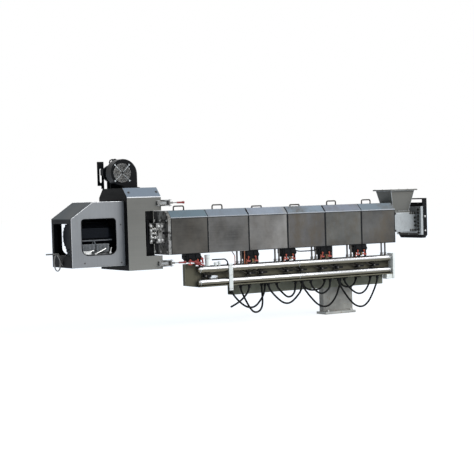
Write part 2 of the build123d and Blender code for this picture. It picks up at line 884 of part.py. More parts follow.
def latch(x, z, name):
    """One latch whose lever turns about an upright pin at x."""
    bracket_plane = Plane(origin=(x, hood_front_y, z), x_dir=(1, 0, 0), z_dir=(0, -1, 0))
    with BuildPart() as bracket:
        with BuildSketch(bracket_plane):
            Rectangle(latch_length, latch_height, align=(Align.MAX, Align.CENTER))
        extrude(amount=latch_sheet)
        with BuildSketch(bracket_plane):
            for side in (-1, 1):
                with Locations((0, side * (latch_height - latch_sheet) / 2)):
                    Rectangle(latch_ear_length, latch_sheet, align=(Align.MAX, Align.CENTER))
        extrude(amount=latch_ear)
        pin_y = hood_front_y - latch_ear + latch_pin_setback
        with BuildSketch(Plane.XY.offset(z - latch_height / 2)):
            with Locations((x - latch_pin_inset, pin_y)):
                Circle(latch_pin + pin_clearance)
        extrude(amount=latch_height, mode=Mode.SUBTRACT)
    save(bracket, name)
    with BuildPart() as lever:
        with BuildSketch(Plane.XY.offset(z - latch_height / 2)):
            with Locations((x - latch_pin_inset, pin_y)):
                Circle(latch_pin)
        extrude(amount=latch_height)
        with BuildSketch(Plane.XY.offset(z - latch_height / 2 + latch_sheet + 1)):
            with Locations((x - latch_pin_inset, pin_y)):
                RegularPolygon(lever_hub, lever_sides)
        extrude(amount=latch_height - 2 * latch_sheet - 2)
        with BuildSketch(Plane.YZ.offset(x - latch_pin_inset)):
            with Locations((pin_y, z)):
                RegularPolygon(lever_radius, lever_sides)
        extrude(amount=lever_length)
        with BuildSketch(Plane.YZ.offset(x - latch_pin_inset + lever_length - grip_length)):
            with Locations((pin_y, z)):
                RegularPolygon(grip_radius, lever_sides)
        extrude(amount=grip_length)
    save(lever, name + "_lever")


latch(hood_end_x + latch_overhang, hood_shoulder - latch_drop, "latch_upper")
latch(hood_end_x + latch_overhang, hood_low + latch_lift, "latch_lower")

# Water manifold
def manifold_pipe(z, name):
    """One pipe of the manifold with chamfered ends."""
    with BuildPart() as pipe:
        with BuildSketch(Plane.YZ.offset(pipe_start_x)):
            with Locations((pipe_y, z)):
                RegularPolygon(pipe_diameter / 2, pipe_sides)
        extrude(amount=pipe_length)
        chamfer(pipe.faces().filter_by(Axis.X).edges(), pipe_chamfer)
    save(pipe, name)


manifold_pipe(upper_pipe_z, "upper_pipe")
manifold_pipe(lower_pipe_z, "lower_pipe")

plate_y = pipe_y + pipe_diameter / 2 + pipe_seat
pipe_end_x = pipe_start_x + pipe_length
with BuildPart() as manifold_plate:
    with BuildSketch(Plane.YZ.offset(pipe_start_x)):
        with Locations((plate_y, plate_low)):
            Rectangle(plate_sheet, plate_high - plate_low, align=(Align.MIN, Align.MIN))
            Rectangle(plate_lip, plate_sheet, align=(Align.MAX, Align.MIN))
            Rectangle(-plate_y - beam_width / 2, plate_sheet, align=(Align.MIN, Align.MIN))
        with Locations((plate_y - plate_lip, plate_low)):
            Rectangle(plate_sheet, lip_height, align=(Align.MIN, Align.MIN))
    extrude(amount=pipe_end_x - pipe_start_x)
save(manifold_plate, "manifold_plate")

# End brackets: a taller flanged sheet at the die end, a thick plate on a foot block at the feed end
with BuildPart() as bracket_left:
    with BuildSketch(Plane.XZ.offset(-plate_y)):
        with BuildLine():
            Polyline(
                (pipe_start_x - bracket_length, plate_low + bracket_slope),
                (pipe_start_x - bracket_length, plate_low + bracket_height),
                (pipe_start_x, plate_low + bracket_height),
                (pipe_start_x, plate_low),
                close=True,
            )
        make_face()
    extrude(amount=-plate_sheet)
    with BuildSketch(Plane.YZ.offset(pipe_start_x - bracket_length)):
        with Locations((plate_y, plate_low + bracket_slope)):
            Rectangle(bracket_lip, bracket_height - bracket_slope, align=(Align.MAX, Align.MIN))
    extrude(amount=plate_sheet)
save(bracket_left, "bracket_left")

end_plate_low = plate_low - end_plate_overlap
with BuildPart() as bracket_right:
    with BuildSketch(Plane.YZ.offset(pipe_end_x)):
        with Locations((pipe_y, end_plate_low)):
            Rectangle(end_plate_width, end_plate_height, align=(Align.CENTER, Align.MIN))
            Rectangle(-pipe_y - beam_width / 2, end_arm_height, align=(Align.MIN, Align.MIN))
    extrude(amount=end_plate_thickness)
    with BuildSketch(Plane.XY.offset(end_plate_low)):
        with Locations((pipe_end_x, pipe_y)):
            Rectangle(end_foot_length, pipe_diameter, align=(Align.MAX, Align.CENTER))
    extrude(amount=plate_low - end_plate_low - 1)
save(bracket_right, "bracket_right")

# Strap over both pipes, hooked under the tray
with BuildPart() as pipe_strap:
    with BuildSketch(Plane.XZ.offset(-pipe_y + pipe_diameter / 2)):
        with Locations((strap_x, plate_low - strap_overlap)):
            Rectangle(strap_width, strap_height, align=(Align.CENTER, Align.MIN))
    extrude(amount=strap_thickness)
save(pipe_strap, "pipe_strap")

# Shut-off valves between the pipes, a body on the tray plate with a long handle
shutoff_z = (upper_pipe_z + lower_pipe_z) / 2
with BuildPart() as shutoff_valves:
    for x in shutoff_spots:
        with BuildSketch(Plane.XZ.offset(-plate_y)):
            with Locations((x, shutoff_z)):
                RegularPolygon(shutoff_diameter / 2, 6)
        extrude(amount=shutoff_reach)
        with BuildSketch(Plane.XZ.offset(shutoff_reach - plate_y)):
            with Locations((x - shutoff_diameter / 2, shutoff_z)):
                Rectangle(shutoff_handle, shutoff_handle_width, align=(Align.MIN, Align.CENTER))
        extrude(amount=shutoff_handle_thickness)
save(shutoff_valves, "shutoff_valves")

# Valve blocks on the upper pipe below the covers, and their hanging levers
pipe_crown = upper_pipe_z + pipe_diameter / 2 + pipe_seat
block_bottom = cover_low - block_height
block_spots = [riser_start_x + k * riser_pitch + block_shift for k in range(riser_count - 1)]
block_spots.append(first_block_x)
with BuildPart() as valve_blocks:
    for x in block_spots:
        with BuildSketch(Plane.XY.offset(block_bottom)):
            with Locations((x, block_y)):
                Rectangle(block_length, block_depth)
        extrude(amount=block_height - block_gap)
        for side in (-1, 1):
            post_x = x + side * (block_length / 2 - post_inset)
            if post_x > pipe_start_x:
                with BuildSketch(Plane.XY.offset(pipe_crown)):
                    with Locations((post_x, pipe_y)):
                        RegularPolygon(post_radius, 6)
                extrude(amount=block_bottom - pipe_crown)
            with BuildSketch(Plane.YZ.offset(x + side * (block_length / 2 + plug_reach))):
                with Locations((plug_y, block_bottom + block_height / 2)):
                    RegularPolygon(plug_radius, 6)
            extrude(amount=-side * plug_depth)
save(valve_blocks, "valve_blocks")

valve_hub_z = cover_low - valve_hub_drop
with BuildPart() as valve_levers:
    for x in block_spots:
        for side in (-1, 1):
            with BuildSketch(Plane.XZ.offset(block_depth / 2 - block_y)):
                with Locations((x + side * block_length / 4, valve_hub_z)):
                    RegularPolygon(valve_hub, 6)
                    Rectangle(valve_stem_width, valve_stem_length, align=(Align.CENTER, Align.MAX))
                with Locations((x + side * block_length / 4, valve_hub_z - valve_stem_length)):
                    Rectangle(valve_bar_length, valve_bar_width)
            extrude(amount=lever_thickness)
save(valve_levers, "valve_levers")

# Cream stub and bent vent rod on the upper pipe
vent_z = upper_pipe_z + vent_rise
with BuildPart() as pipe_fittings:
    with BuildSketch(Plane.XY.offset(pipe_crown)):
        with Locations((stub_x, pipe_y)):
            RegularPolygon(stub_diameter / 2, stub_sides)
    extrude(amount=stub_height)
    with BuildLine(Plane.XZ.offset(-pipe_y)):
        vent_route = FilletPolyline(
            (vent_x, pipe_crown),
            (vent_x, vent_z - vent_bend),
            (vent_x - vent_bend, vent_z),
            (vent_x - vent_length, vent_z),
            radius=vent_arc,
        )
    with BuildSketch(Plane(origin=vent_route @ 0, z_dir=vent_route % 0)):
        RegularPolygon(vent_radius, vent_sides)
    sweep(path=vent_route)
save(pipe_fittings, "pipe_fittings")

# Risers from the upper pipe into the barrel, two at each zone
riser_top = axis_height - riser_drop
riser_reach = riser_diameter / 2 - pipe_y
with BuildPart() as riser_tubes:
    for k in range(riser_count):
        for side in (-0.5, 0.5):
            x = riser_start_x + k * riser_pitch + side * riser_spacing
            with BuildSketch(Plane.XY.offset(pipe_crown)):
                with Locations((x, pipe_y)):
                    RegularPolygon(riser_diameter / 2, riser_sides)
            extrude(amount=riser_top - pipe_crown)
            with BuildSketch(Plane.XZ.offset(riser_reach)):
                with Locations((x, riser_top - riser_diameter / 2)):
                    RegularPolygon(riser_diameter / 2, riser_sides)
            extrude(amount=barrel_size / 2 - riser_reach)
save(riser_tubes, "riser_tubes")

# Base: beam, pedestal, foot and barrel supports
with BuildPart() as base_beam:
    with BuildSketch(Plane.YZ.offset(beam_start_x)):
        with Locations((0, beam_bottom)):
            Rectangle(beam_width, beam_height, align=(Align.CENTER, Align.MIN))
        with Locations((0, beam_bottom + beam_wall)):
            Rectangle(
                beam_width - 2 * beam_wall, beam_height - 2 * beam_wall,
                align=(Align.CENTER, Align.MIN), mode=Mode.SUBTRACT)
    extrude(amount=beam_end_x - beam_start_x)
save(base_beam, "base_beam")

with BuildPart() as pedestal:
    with BuildSketch(Plane.XY.offset(foot_thickness)):
        Rectangle(pedestal_width, pedestal_depth)
    extrude(amount=beam_bottom - foot_thickness)
save(pedestal, "pedestal")

with BuildPart() as foot_plate:
    with BuildSketch():
        Rectangle(foot_length, foot_depth)
        with GridLocations(foot_bolt_x, foot_bolt_y, 2, 2):
            Circle(foot_bolt_hole / 2, mode=Mode.SUBTRACT)
    extrude(amount=foot_thickness)
save(foot_plate, "foot_plate")

with BuildPart() as barrel_supports:
    for spot in support_spots:
        with BuildSketch(Plane.XY.offset(beam_top)):
            with Locations((spot, 0)):
                Rectangle(support_width, support_depth)
        extrude(amount=barrel_low - beam_top)
save(barrel_supports, "barrel_supports")

# Hoses, each hung in its own upright plane from the underside of the tray: places along X and falls
hose_routes = {
    "hose_1": (-190, (
        (-1225, 0), (-1225, 57), (-1262, 110), (-1322, 162), (-1388, 199), (-1452, 224))),
    "hose_2": (-160, (
        (-1430, 0), (-1430, 57), (-1386, 124), (-1310, 199), (-1232, 247), (-1146, 250),
        (-1074, 186), (-1013, 92), (-1013, 0))),
    "hose_3": (-130, (
        (-1294, 0), (-1294, 57), (-1258, 130), (-1222, 197), (-1182, 262), (-1138, 306),
        (-1078, 304), (-1038, 262), (-1027, 190), (-1036, 94), (-1036, 0))),
    "hose_4": (-190, (
        (-990, 0), (-990, 52), (-945, 112), (-868, 186), (-796, 232), (-722, 234),
        (-645, 180), (-566, 94), (-566, 0))),
    "hose_5": (-160, (
        (-868, 0), (-868, 52), (-822, 100), (-775, 144), (-730, 174), (-672, 162),
        (-632, 102), (-632, 0))),
    "hose_6": (-160, (
        (-552, 0), (-552, 52), (-505, 117), (-437, 197), (-352, 278), (-272, 308),
        (-192, 294), (-117, 217), (-76, 130), (-52, 64), (-52, 0))),
    "hose_7": (-130, (
        (-522, 0), (-522, 52), (-482, 96), (-428, 118), (-360, 122), (-300, 114),
        (-254, 80), (-236, 40), (-236, 0))),
    "hose_8": (-190, (
        (-458, 0), (-458, 47), (-420, 100), (-368, 146), (-308, 162), (-254, 140),
        (-204, 92), (-204, 0))),
    "hose_9": (-190, (
        (-98, 0), (-98, 52), (-58, 114), (0, 194), (68, 274), (140, 326), (225, 338),
        (300, 290), (358, 202), (404, 114), (428, 57), (428, 0))),
    "hose_10": (-130, (
        (-38, 0), (-38, 56), (4, 100), (62, 116), (122, 114), (180, 64), (180, 0))),
    "hose_11": (-160, (
        (4, 0), (4, 48), (42, 94), (100, 148), (165, 190), (228, 196), (288, 164),
        (330, 102), (354, 46), (354, 0))),
}


def corner_radii(points):
    """The largest arc that fits each corner of a hose's route."""
    radii = []
    for before, corner, after in zip(points, points[1:], points[2:]):
        arriving = Vector(*corner) - Vector(*before)
        leaving = Vector(*after) - Vector(*corner)
        shorter = min(arriving.length, leaving.length)
        turn = radians(arriving.get_angle(leaving))
        radii.append(arc_share * shorter / tan(turn / 2))
    return radii


for name, (hose_y, falls) in hose_routes.items():
    points = [(x, plate_low - fall) for x, fall in falls]
    radii = corner_radii(points)
    with BuildPart() as hose:
        with BuildLine(Plane.XZ.offset(-hose_y)):
            route = FilletPolyline(*points, radius=radii)
        with BuildSketch(Plane(origin=route @ 0, z_dir=route % 0)):
            Rectangle(hose_width, hose_width)
        sweep(path=route)
    print(
        name, "length", round(route.length), "smallest radius", round(min(radii)),
        "volume ratio", round(hose.part.volume / hose_width ** 2 / route.length, 4))
    save(hose, name)
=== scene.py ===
import math
from functools import partial
from itertools import product

import bmesh
import bpy
from mathutils import Matrix, Vector


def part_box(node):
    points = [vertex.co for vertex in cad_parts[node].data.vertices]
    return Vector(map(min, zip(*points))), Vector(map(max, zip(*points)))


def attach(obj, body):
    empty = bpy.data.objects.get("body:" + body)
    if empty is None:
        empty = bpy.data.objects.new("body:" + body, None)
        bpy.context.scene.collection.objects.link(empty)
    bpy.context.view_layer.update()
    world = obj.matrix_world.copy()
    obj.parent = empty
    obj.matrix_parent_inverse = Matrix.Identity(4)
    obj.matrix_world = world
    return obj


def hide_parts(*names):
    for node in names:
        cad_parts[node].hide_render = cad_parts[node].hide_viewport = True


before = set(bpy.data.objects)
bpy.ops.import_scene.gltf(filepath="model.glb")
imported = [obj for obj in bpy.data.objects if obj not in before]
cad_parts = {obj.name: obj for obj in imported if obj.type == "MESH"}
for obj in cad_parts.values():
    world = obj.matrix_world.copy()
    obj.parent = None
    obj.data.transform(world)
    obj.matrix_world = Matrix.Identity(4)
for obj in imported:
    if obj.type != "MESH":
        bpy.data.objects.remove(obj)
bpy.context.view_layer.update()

# Metres. +X runs from the die to the feed end, +Y away from the operator, +Z up.
FRONT, BACK = (0, -1, 0), (0, 1, 0)
LEFT, RIGHT = (-1, 0, 0), (1, 0, 0)
DOWN, UP = (0, 0, -1), (0, 0, 1)
SIDES = (-1, 1)

# Camera fitted to the photograph
CAMERA_PLACE = (-8.210, -11.487, 1.318)
CAMERA_YAW = math.radians(31.25)
CAMERA_PITCH = math.radians(-1.86)
CAMERA_ROLL = math.radians(-1.69)
CAMERA_LENS = 98.1
SENSOR_WIDTH = 36.0
PICTURE_SIDE = 474

# Driving places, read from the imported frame
barrel_low, barrel_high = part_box("screw_barrel")
hood_low, hood_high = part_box("die_hood")
guard_low, guard_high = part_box("guard_front")
tray_low, tray_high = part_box("manifold_plate")
pipe_low, pipe_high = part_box("upper_pipe")
plate_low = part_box("feed_plate")[0]
hopper_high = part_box("hopper")[1]
AXIS_HEIGHT = (barrel_low.z + barrel_high.z) / 2
COVER_BEVEL = 0.066
HOOD_BEVEL = 0.090
COVERS = [f"cover_{index}" for index in range(1, 7)]
HOOD_MIDDLE = (hood_low.x + hood_high.x) / 2


# Materials

LOOKS = {}
# Tone of the painted shade in corners and gaps of sheet metal
NOOK_SHADE = (0.05, 0.045, 0.04)
# Near-black of the painted shade on inner faces and on the die head's far side
SHADE_BLACK = (0.006, 0.006, 0.006)


class Nodes:
    """A node tree, with short calls for the nodes that it uses."""

    def __init__(self, tree):
        tree.nodes.clear()
        self.tree = tree

    def add(self, kind, inputs=None, **settings):
        """A new node with its settings, and with a source or a value for each input."""
        node = self.tree.nodes.new("ShaderNode" + kind)
        for key, value in settings.items():
            setattr(node, key, value)
        for key, value in (inputs or {}).items():
            self.plug(node.inputs[key], value)
        return node

    def plug(self, socket, value):
        """Link a socket's source, or set the socket's own value."""
        if isinstance(value, bpy.types.NodeSocket):
            self.tree.links.new(value, socket)
        elif isinstance(value, tuple) and len(value) == 3 and socket.type == "RGBA":
            socket.default_value = (*value, 1.0)
        else:
            socket.default_value = value

    def math(self, kind, *values):
        return self.add("Math", dict(enumerate(values)), operation=kind).outputs["Value"]

    def part(self, vector, axis):
        """One component of a vector, by its letter."""
        return self.add("SeparateXYZ", {"Vector": vector}).outputs[axis]

    def by_ray(self, lighting, seen):
        """One shader for bounced light, and another for camera, mirror and glass rays."""
        path = self.add("LightPath")
        share = path.outputs["Is Camera Ray"]
        for ray in ("Is Glossy Ray", "Is Transmission Ray"):
            share = self.math("MAXIMUM", share, path.outputs[ray])
        return self.add("MixShader", {"Fac": share, 1: lighting, 2: seen}).outputs["Shader"]


class Shader(Nodes):
    """A material's tree. The material is kept in LOOKS under its name."""

    def __init__(self, name):
        material = bpy.data.materials.new(name)
        material.use_nodes = True
        super().__init__(material.node_tree)
        self.output = self.add("OutputMaterial")
        self.place = self.add("TexCoord").outputs["Object"]
        LOOKS[name] = material

    def at(self, axis):
        """Place along an axis."""
        return self.part(self.place, axis)

    def facing(self, axis):
        """Share of an axis in the surface's normal."""
        return self.part(self.add("NewGeometry").outputs["Normal"], axis)

    def noise(self, scale, stretch=(1, 1, 1), detail=4, rough=0.55, shift=0.0):
        spot = self.add("Mapping", {
            "Vector": self.place, "Scale": stretch, "Location": (shift, shift * 0.7, shift * 1.3)})
        return self.add("TexNoise", {
            "Vector": spot.outputs["Vector"], "Scale": scale, "Detail": detail, "Roughness": rough,
        }).outputs["Fac"]

    def span(self, value, low, high, to_low=0.0, to_high=1.0):
        """A value carried from one range to another and held inside it."""
        return self.add("MapRange", {
            "Value": value, "From Min": low, "From Max": high, "To Min": to_low, "To Max": to_high,
        }).outputs["Result"]

    def mix(self, share, a, b):
        return self.add("Mix", {"Factor": share, "A": a, "B": b}, data_type="RGBA").outputs["Result"]

    def edges(self, radius):
        """1 on sharp outer edges and 0 on flats, from a bevelled normal."""
        bevel = self.add("Bevel", {"Radius": radius}, samples=6)
        geometry = self.add("NewGeometry")
        dot = self.add("VectorMath", {0: bevel.outputs["Normal"], 1: geometry.outputs["Normal"]},
                       operation="DOT_PRODUCT")
        return self.span(dot.outputs["Value"], 0.995, 0.93)

    def nooks(self, distance):
        """0 in open air and 1 in corners and gaps, from ambient occlusion: the share of painted shade."""
        shade = self.add("AmbientOcclusion", {"Distance": distance}, samples=6)
        return self.span(shade.outputs["AO"], 0.85, 0.25)

    def inner_side(self):
        """1 on faces that look inwards, downwards or to the die end: the faces that take painted shade."""
        across = self.math("MULTIPLY", self.facing("Y"), self.at("Y"))
        from_middle = self.math("SUBTRACT", self.at("X"), HOOD_MIDDLE)
        along = self.math("MULTIPLY", self.facing("X"), from_middle)
        found = self.math("LESS_THAN", across, -0.001)
        for value, limit in ((along, -0.001), (self.facing("X"), -0.5), (self.facing("Z"), -0.3)):
            found = self.math("MAXIMUM", found, self.math("LESS_THAN", value, limit))
        return found

    def near_ends(self, ends):
        """1 in the strips of painted shade beside the seams, given as two places along X."""
        along = self.math("ADD", self.at("X"), self.span(self.noise(30), 0.3, 0.7, -0.002, 0.002))
        return self.math("MAXIMUM", self.math("LESS_THAN", along, ends[0]),
                         self.math("GREATER_THAN", along, ends[1]))

    def clouded(self, value, low, high, color, first, last):
        """A colour between two of its own shades, by a noise."""
        return self.mix(self.span(value, low, high), shade_of(color, first), shade_of(color, last))

    def shade_nooks(self, tone, distance, share, shade_tone):
        """A tone darkened in its corners and gaps: painted shade."""
        return self.mix(self.math("MULTIPLY", self.nooks(distance), share), tone, shade_tone)

    def rubbed(self, tone, radius, share, bare):
        """A tone with its sharp edges rubbed bare."""
        return self.mix(self.math("MULTIPLY", self.edges(radius), share), tone, bare)

    def surface(self, color, metallic, roughness, bumps, coat=0.0, shine=0.5):
        """Close the tree with one surface whose relief is a list of (height, depth) pairs."""
        normal = None
        for height, depth in bumps:
            bump = self.add("Bump", {"Distance": depth, "Strength": 0.6, "Height": height})
            if normal is not None:
                self.plug(bump.inputs["Normal"], normal)
            normal = bump.outputs["Normal"]
        shade = self.add("BsdfPrincipled", {
            "Base Color": color, "Metallic": metallic, "Roughness": roughness, "Normal": normal,
            "Coat Weight": coat, "Coat Roughness": 0.25, "Specular IOR Level": shine})
        self.plug(self.output.inputs["Surface"], shade.outputs["BSDF"])


def shade_of(color, factor):
    return tuple(min(1.0, part * factor) for part in color)


def sheet_metal(name, color, metallic=0.12, roughness=0.38, grain=(3, 3, 220), patches=0.16,
                shift=0.0, shaded_inside=False, stain=0.0, seams=None, bevel=None, painted_low_light=0.0,
                pale_end=None):
    """Folded sheet with rolled grain, soft blotches, rubbed edges and painted shade in the corners; with
    options for a painted sky reflection on upward faces, painted light low down, a paler end, near-black
    painted shade beside the seams and painted shade on faces that look inwards, downwards or to the die
    end.
    """
    s = Shader(name)
    lines = s.noise(1.0, grain, detail=5, shift=shift)
    blotch = s.noise(2.6, detail=5, rough=0.6, shift=shift + 3)
    fine = s.noise(420, detail=2)
    tone = s.clouded(blotch, 0.3, 0.72, color, 1 - patches, 1 + patches)
    tone = s.mix(s.span(lines, 0.35, 0.7, 0.0, 0.35), tone, shade_of(color, 1.25))
    tone = s.mix(s.span(fine, 0.4, 0.65, 0.0, 0.18), tone, shade_of(color, 0.7))
    # Painted sky reflection: upward faces lightened and blued
    if bevel:
        painted_sheen = tuple(part * gain for part, gain in zip(color, bevel))
        tone = s.mix(s.span(s.facing("Z"), 0.25, 0.6, 0.0, 0.85), tone, painted_sheen)
    # Paler towards the right end of the cover
    if pale_end is not None:
        paler_end_share = s.span(s.at("X"), pale_end - 0.06, pale_end - 0.02, 0.0, 0.7)
        tone = s.mix(paler_end_share, tone, shade_of(color, 1.6))
    # Painted light: lighter towards the bottom
    if painted_low_light:
        tone = s.mix(s.span(s.at("Z"), 1.15, 0.62, 0.0, painted_low_light), tone, shade_of(color, 1.8))
    if stain:
        run = s.noise(5.5, (1, 1, 0.5), detail=6, rough=0.7, shift=shift + 8)
        tone = s.mix(s.span(run, 0.46, 0.72, 0.0, stain), tone, (0.105, 0.082, 0.056))
    # Painted shade in corners and gaps, from ambient occlusion
    tone = s.shade_nooks(tone, 0.05, 0.65, NOOK_SHADE)
    tone = s.rubbed(tone, 0.004, 0.75, shade_of(color, 1.9))
    # Painted shade: near-black strips beside the seams between covers
    if seams:
        tone = s.mix(s.near_ends(seams), tone, (0.012, 0.012, 0.012))
    rough = s.span(lines, 0.2, 0.8, roughness - 0.08, roughness + 0.12)
    shine = 0.2
    # Painted shade: faces that look inwards, downwards or to the die end are made near-black, dull and not
    # metallic
    if shaded_inside:
        inner = s.inner_side()
        tone = s.mix(inner, tone, SHADE_BLACK)
        metallic = s.span(inner, 0.0, 1.0, metallic, 0.0)
        shine = 0.04
    s.surface(tone, metallic, rough, [(lines, 0.0004), (fine, 0.0001)], shine=shine)


def paint(name, color, roughness, chips=None, dust=0.25, mottle=0.12, nook_shade_share=0.6, shine=0.5):
    """Sprayed paint with orange peel, dust on top faces, rubbed edges and painted shade in the corners."""
    s = Shader(name)
    peel = s.noise(260, detail=2)
    cloud = s.noise(4.5, detail=6, rough=0.62)
    tone = s.clouded(cloud, 0.32, 0.7, color, 1 - mottle, 1 + mottle)
    powder = s.math("MULTIPLY", s.span(s.facing("Z"), 0.3, 1.0), s.span(cloud, 0.3, 0.7, 0.0, dust))
    tone = s.mix(powder, tone, (0.42, 0.41, 0.38))
    # Painted shade in corners and gaps, from ambient occlusion
    tone = s.shade_nooks(tone, 0.04, nook_shade_share, shade_of(color, 0.35))
    tone = s.rubbed(tone, 0.003, s.span(s.noise(70), 0.48, 0.6), chips or shade_of(color, 1.6))
    rough = s.span(cloud, 0.25, 0.75, roughness - 0.07, roughness + 0.1)
    s.surface(tone, 0.0, rough, [(peel, 0.0002)], shine=shine)


def machined(name, color, roughness=0.3, rings=90, oil=0.35, shaded_far_side=False):
    """Cut steel with tool marks, a film of oil and painted shade in the corners, and, when asked, painted
    shade that turns it black towards the far side.
    """
    s = Shader(name)
    marks = s.noise(1.0, (rings, rings, rings * 5), detail=3)
    film = s.noise(9, detail=5)
    tone = s.clouded(marks, 0.3, 0.7, color, 0.82, 1.15)
    tone = s.mix(s.span(film, 0.45, 0.75, 0.0, oil), tone, (0.10, 0.08, 0.05))
    # Painted shade in corners and gaps, from ambient occlusion
    tone = s.shade_nooks(tone, 0.03, 0.7, (0.02, 0.018, 0.015))
    tone = s.rubbed(tone, 0.002, 0.6, shade_of(color, 1.7))
    rough = s.span(film, 0.3, 0.7, roughness - 0.06, roughness + 0.18)
    metallic, shine = 1.0, 0.5
    # Painted shade: black and dull towards the far side, with dark specks
    if shaded_far_side:
        far_shade = s.span(s.at("Y"), -0.035, 0.01)
        specks = s.span(s.noise(34), 0.50, 0.60, 0.0, 0.85)
        tone = s.mix(far_shade, s.mix(specks, tone, (0.03, 0.028, 0.025)), SHADE_BLACK)
        metallic, shine = s.span(far_shade, 0.0, 1.0, 1.0, 0.0), 0.08
    s.surface(tone, metallic, rough, [(marks, 0.0003)], shine=shine)


def polished(name, color, roughness):
    """Drawn tube under a soiled film that is painted darker beneath as shade, with a painted highlight band
    of bare metal beside its crown, painted shade in the corners and fine scratches.
    """
    s = Shader(name)
    scratches = s.noise(1.0, (260, 30, 30))
    marks = s.noise(14, (0.5, 1, 1), detail=5)
    up = s.facing("Z")
    # Painted highlight: bare bright metal in a band on the faces that look partly up
    painted_sheen = s.math("MULTIPLY", s.span(up, -0.05, 0.25), s.span(up, 0.97, 0.82))
    # A soiled film, painted darker beneath as shade and paler on top
    film = s.mix(s.span(up, -0.2, 0.5), (0.150, 0.138, 0.102), (0.42, 0.42, 0.40))
    tone = s.mix(painted_sheen, film, s.clouded(marks, 0.35, 0.75, color, 1.0, 0.78))
    # Painted shade in corners and gaps, from ambient occlusion
    tone = s.shade_nooks(tone, 0.03, 0.5, (0.06, 0.055, 0.05))
    rough = s.span(marks, 0.3, 0.8, roughness, roughness + 0.14)
    s.surface(tone, 1.0, rough, [(scratches, 0.0001)])


def moulded(name, color, roughness=0.5, coat=0.0, shine=0.4):
    """Moulded plastic or rubber with a fine grain, dulled by dust."""
    s = Shader(name)
    fine = s.noise(700, detail=2)
    cloud = s.noise(12, detail=5)
    tone = s.clouded(cloud, 0.3, 0.75, color, 0.8, 1.25)
    powder = s.math("MULTIPLY", s.span(s.facing("Z"), 0.2, 1.0), s.span(cloud, 0.35, 0.7, 0.0, 0.22))
    tone = s.mix(powder, tone, (0.3, 0.29, 0.27))
    tone = s.rubbed(tone, 0.0015, 0.35, shade_of(color, 2.2))
    rough = s.span(cloud, 0.3, 0.7, roughness - 0.08, roughness + 0.1)
    s.surface(tone, 0.0, rough, [(fine, 0.0001)], coat, shine)


def old_base(name, color):
    """Painted base with splashes, rust that climbs from the floor, and painted shade in the corners."""
    s = Shader(name)
    cloud = s.noise(5, detail=6, rough=0.65)
    spots = s.noise(38, detail=5)
    peel = s.noise(240, detail=2)
    tone = s.clouded(cloud, 0.3, 0.7, color, 0.8, 1.18)
    splash = s.math("MULTIPLY", s.span(s.at("Z"), 0.30, 0.0), s.span(cloud, 0.42, 0.68))
    tone = s.mix(s.math("MULTIPLY", splash, 0.55), tone, (0.62, 0.58, 0.50))
    rust = s.math("MULTIPLY", s.span(spots, 0.60, 0.70), s.span(s.at("Z"), 0.4, 0.0, 0.15, 0.8))
    tone = s.mix(rust, tone, (0.20, 0.10, 0.05))
    # Painted shade in corners and gaps, from ambient occlusion
    tone = s.shade_nooks(tone, 0.05, 0.6, (0.06, 0.055, 0.05))
    tone = s.rubbed(tone, 0.003, 0.6, shade_of(color, 1.5))
    s.surface(tone, 0.1, s.span(spots, 0.3, 0.7, 0.45, 0.7), [(peel, 0.0002), (spots, 0.0004)])


def braided(name):
    """Black hose with a fine braid under a rubbed skin."""
    s = Shader(name)
    weave = s.add("TexWave", {"Vector": s.place, "Scale": 90, "Distortion": 1.5},
                  wave_type="BANDS", bands_direction="DIAGONAL").outputs["Fac"]
    dusty = s.noise(20, detail=5)
    tone = s.mix(s.span(dusty, 0.35, 0.75), (0.004, 0.004, 0.004), (0.013, 0.013, 0.012))
    tone = s.mix(s.span(weave, 0.5, 1.0, 0.0, 0.4), tone, (0.022, 0.022, 0.021))
    s.surface(tone, 0.0, s.span(dusty, 0.3, 0.7, 0.42, 0.62), [(weave, 0.0004)], shine=0.08)


# Of each cover: its tone, how much a painted sky reflection lightens and blues its bevel on that, and how
# stained it is
COVER_LOOKS = (
    ((0.094, 0.083, 0.069), (1.52, 2.25, 2.90), 0.35),
    ((0.140, 0.129, 0.116), (1.55, 1.84, 2.20), 0.3),
    ((0.200, 0.184, 0.165), (1.40, 1.60, 1.93), 0.4),
    ((0.106, 0.099, 0.093), (2.15, 2.65, 3.10), 0.9),
    ((0.114, 0.109, 0.097), (1.90, 2.05, 2.55), 0.8),
    ((0.094, 0.088, 0.080), (1.85, 2.30, 2.70), 0.85),
)
# Width of the near-black painted shade strip at each cover end, in turn
SEAM_SHADE_WIDTHS = (0.0, 0.0015, 0.009, 0.008, 0.009, 0.002, 0.0)
# The cover that is made paler towards its right end
PALE_COVER = "cover_3"

for cover_index, cover in enumerate(COVERS):
    cover_low, cover_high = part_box(cover)
    cover_tone, cover_sky_tint, cover_stain = COVER_LOOKS[cover_index]
    sheet_metal(
        f"cover_steel_{cover_index + 1}", cover_tone, patches=0.6, shift=1.7 * cover_index,
        stain=cover_stain, bevel=cover_sky_tint,
        seams=(cover_low.x + SEAM_SHADE_WIDTHS[cover_index], cover_high.x - SEAM_SHADE_WIDTHS[cover_index + 1] / 3),
        pale_end=cover_high.x if cover == PALE_COVER else None)
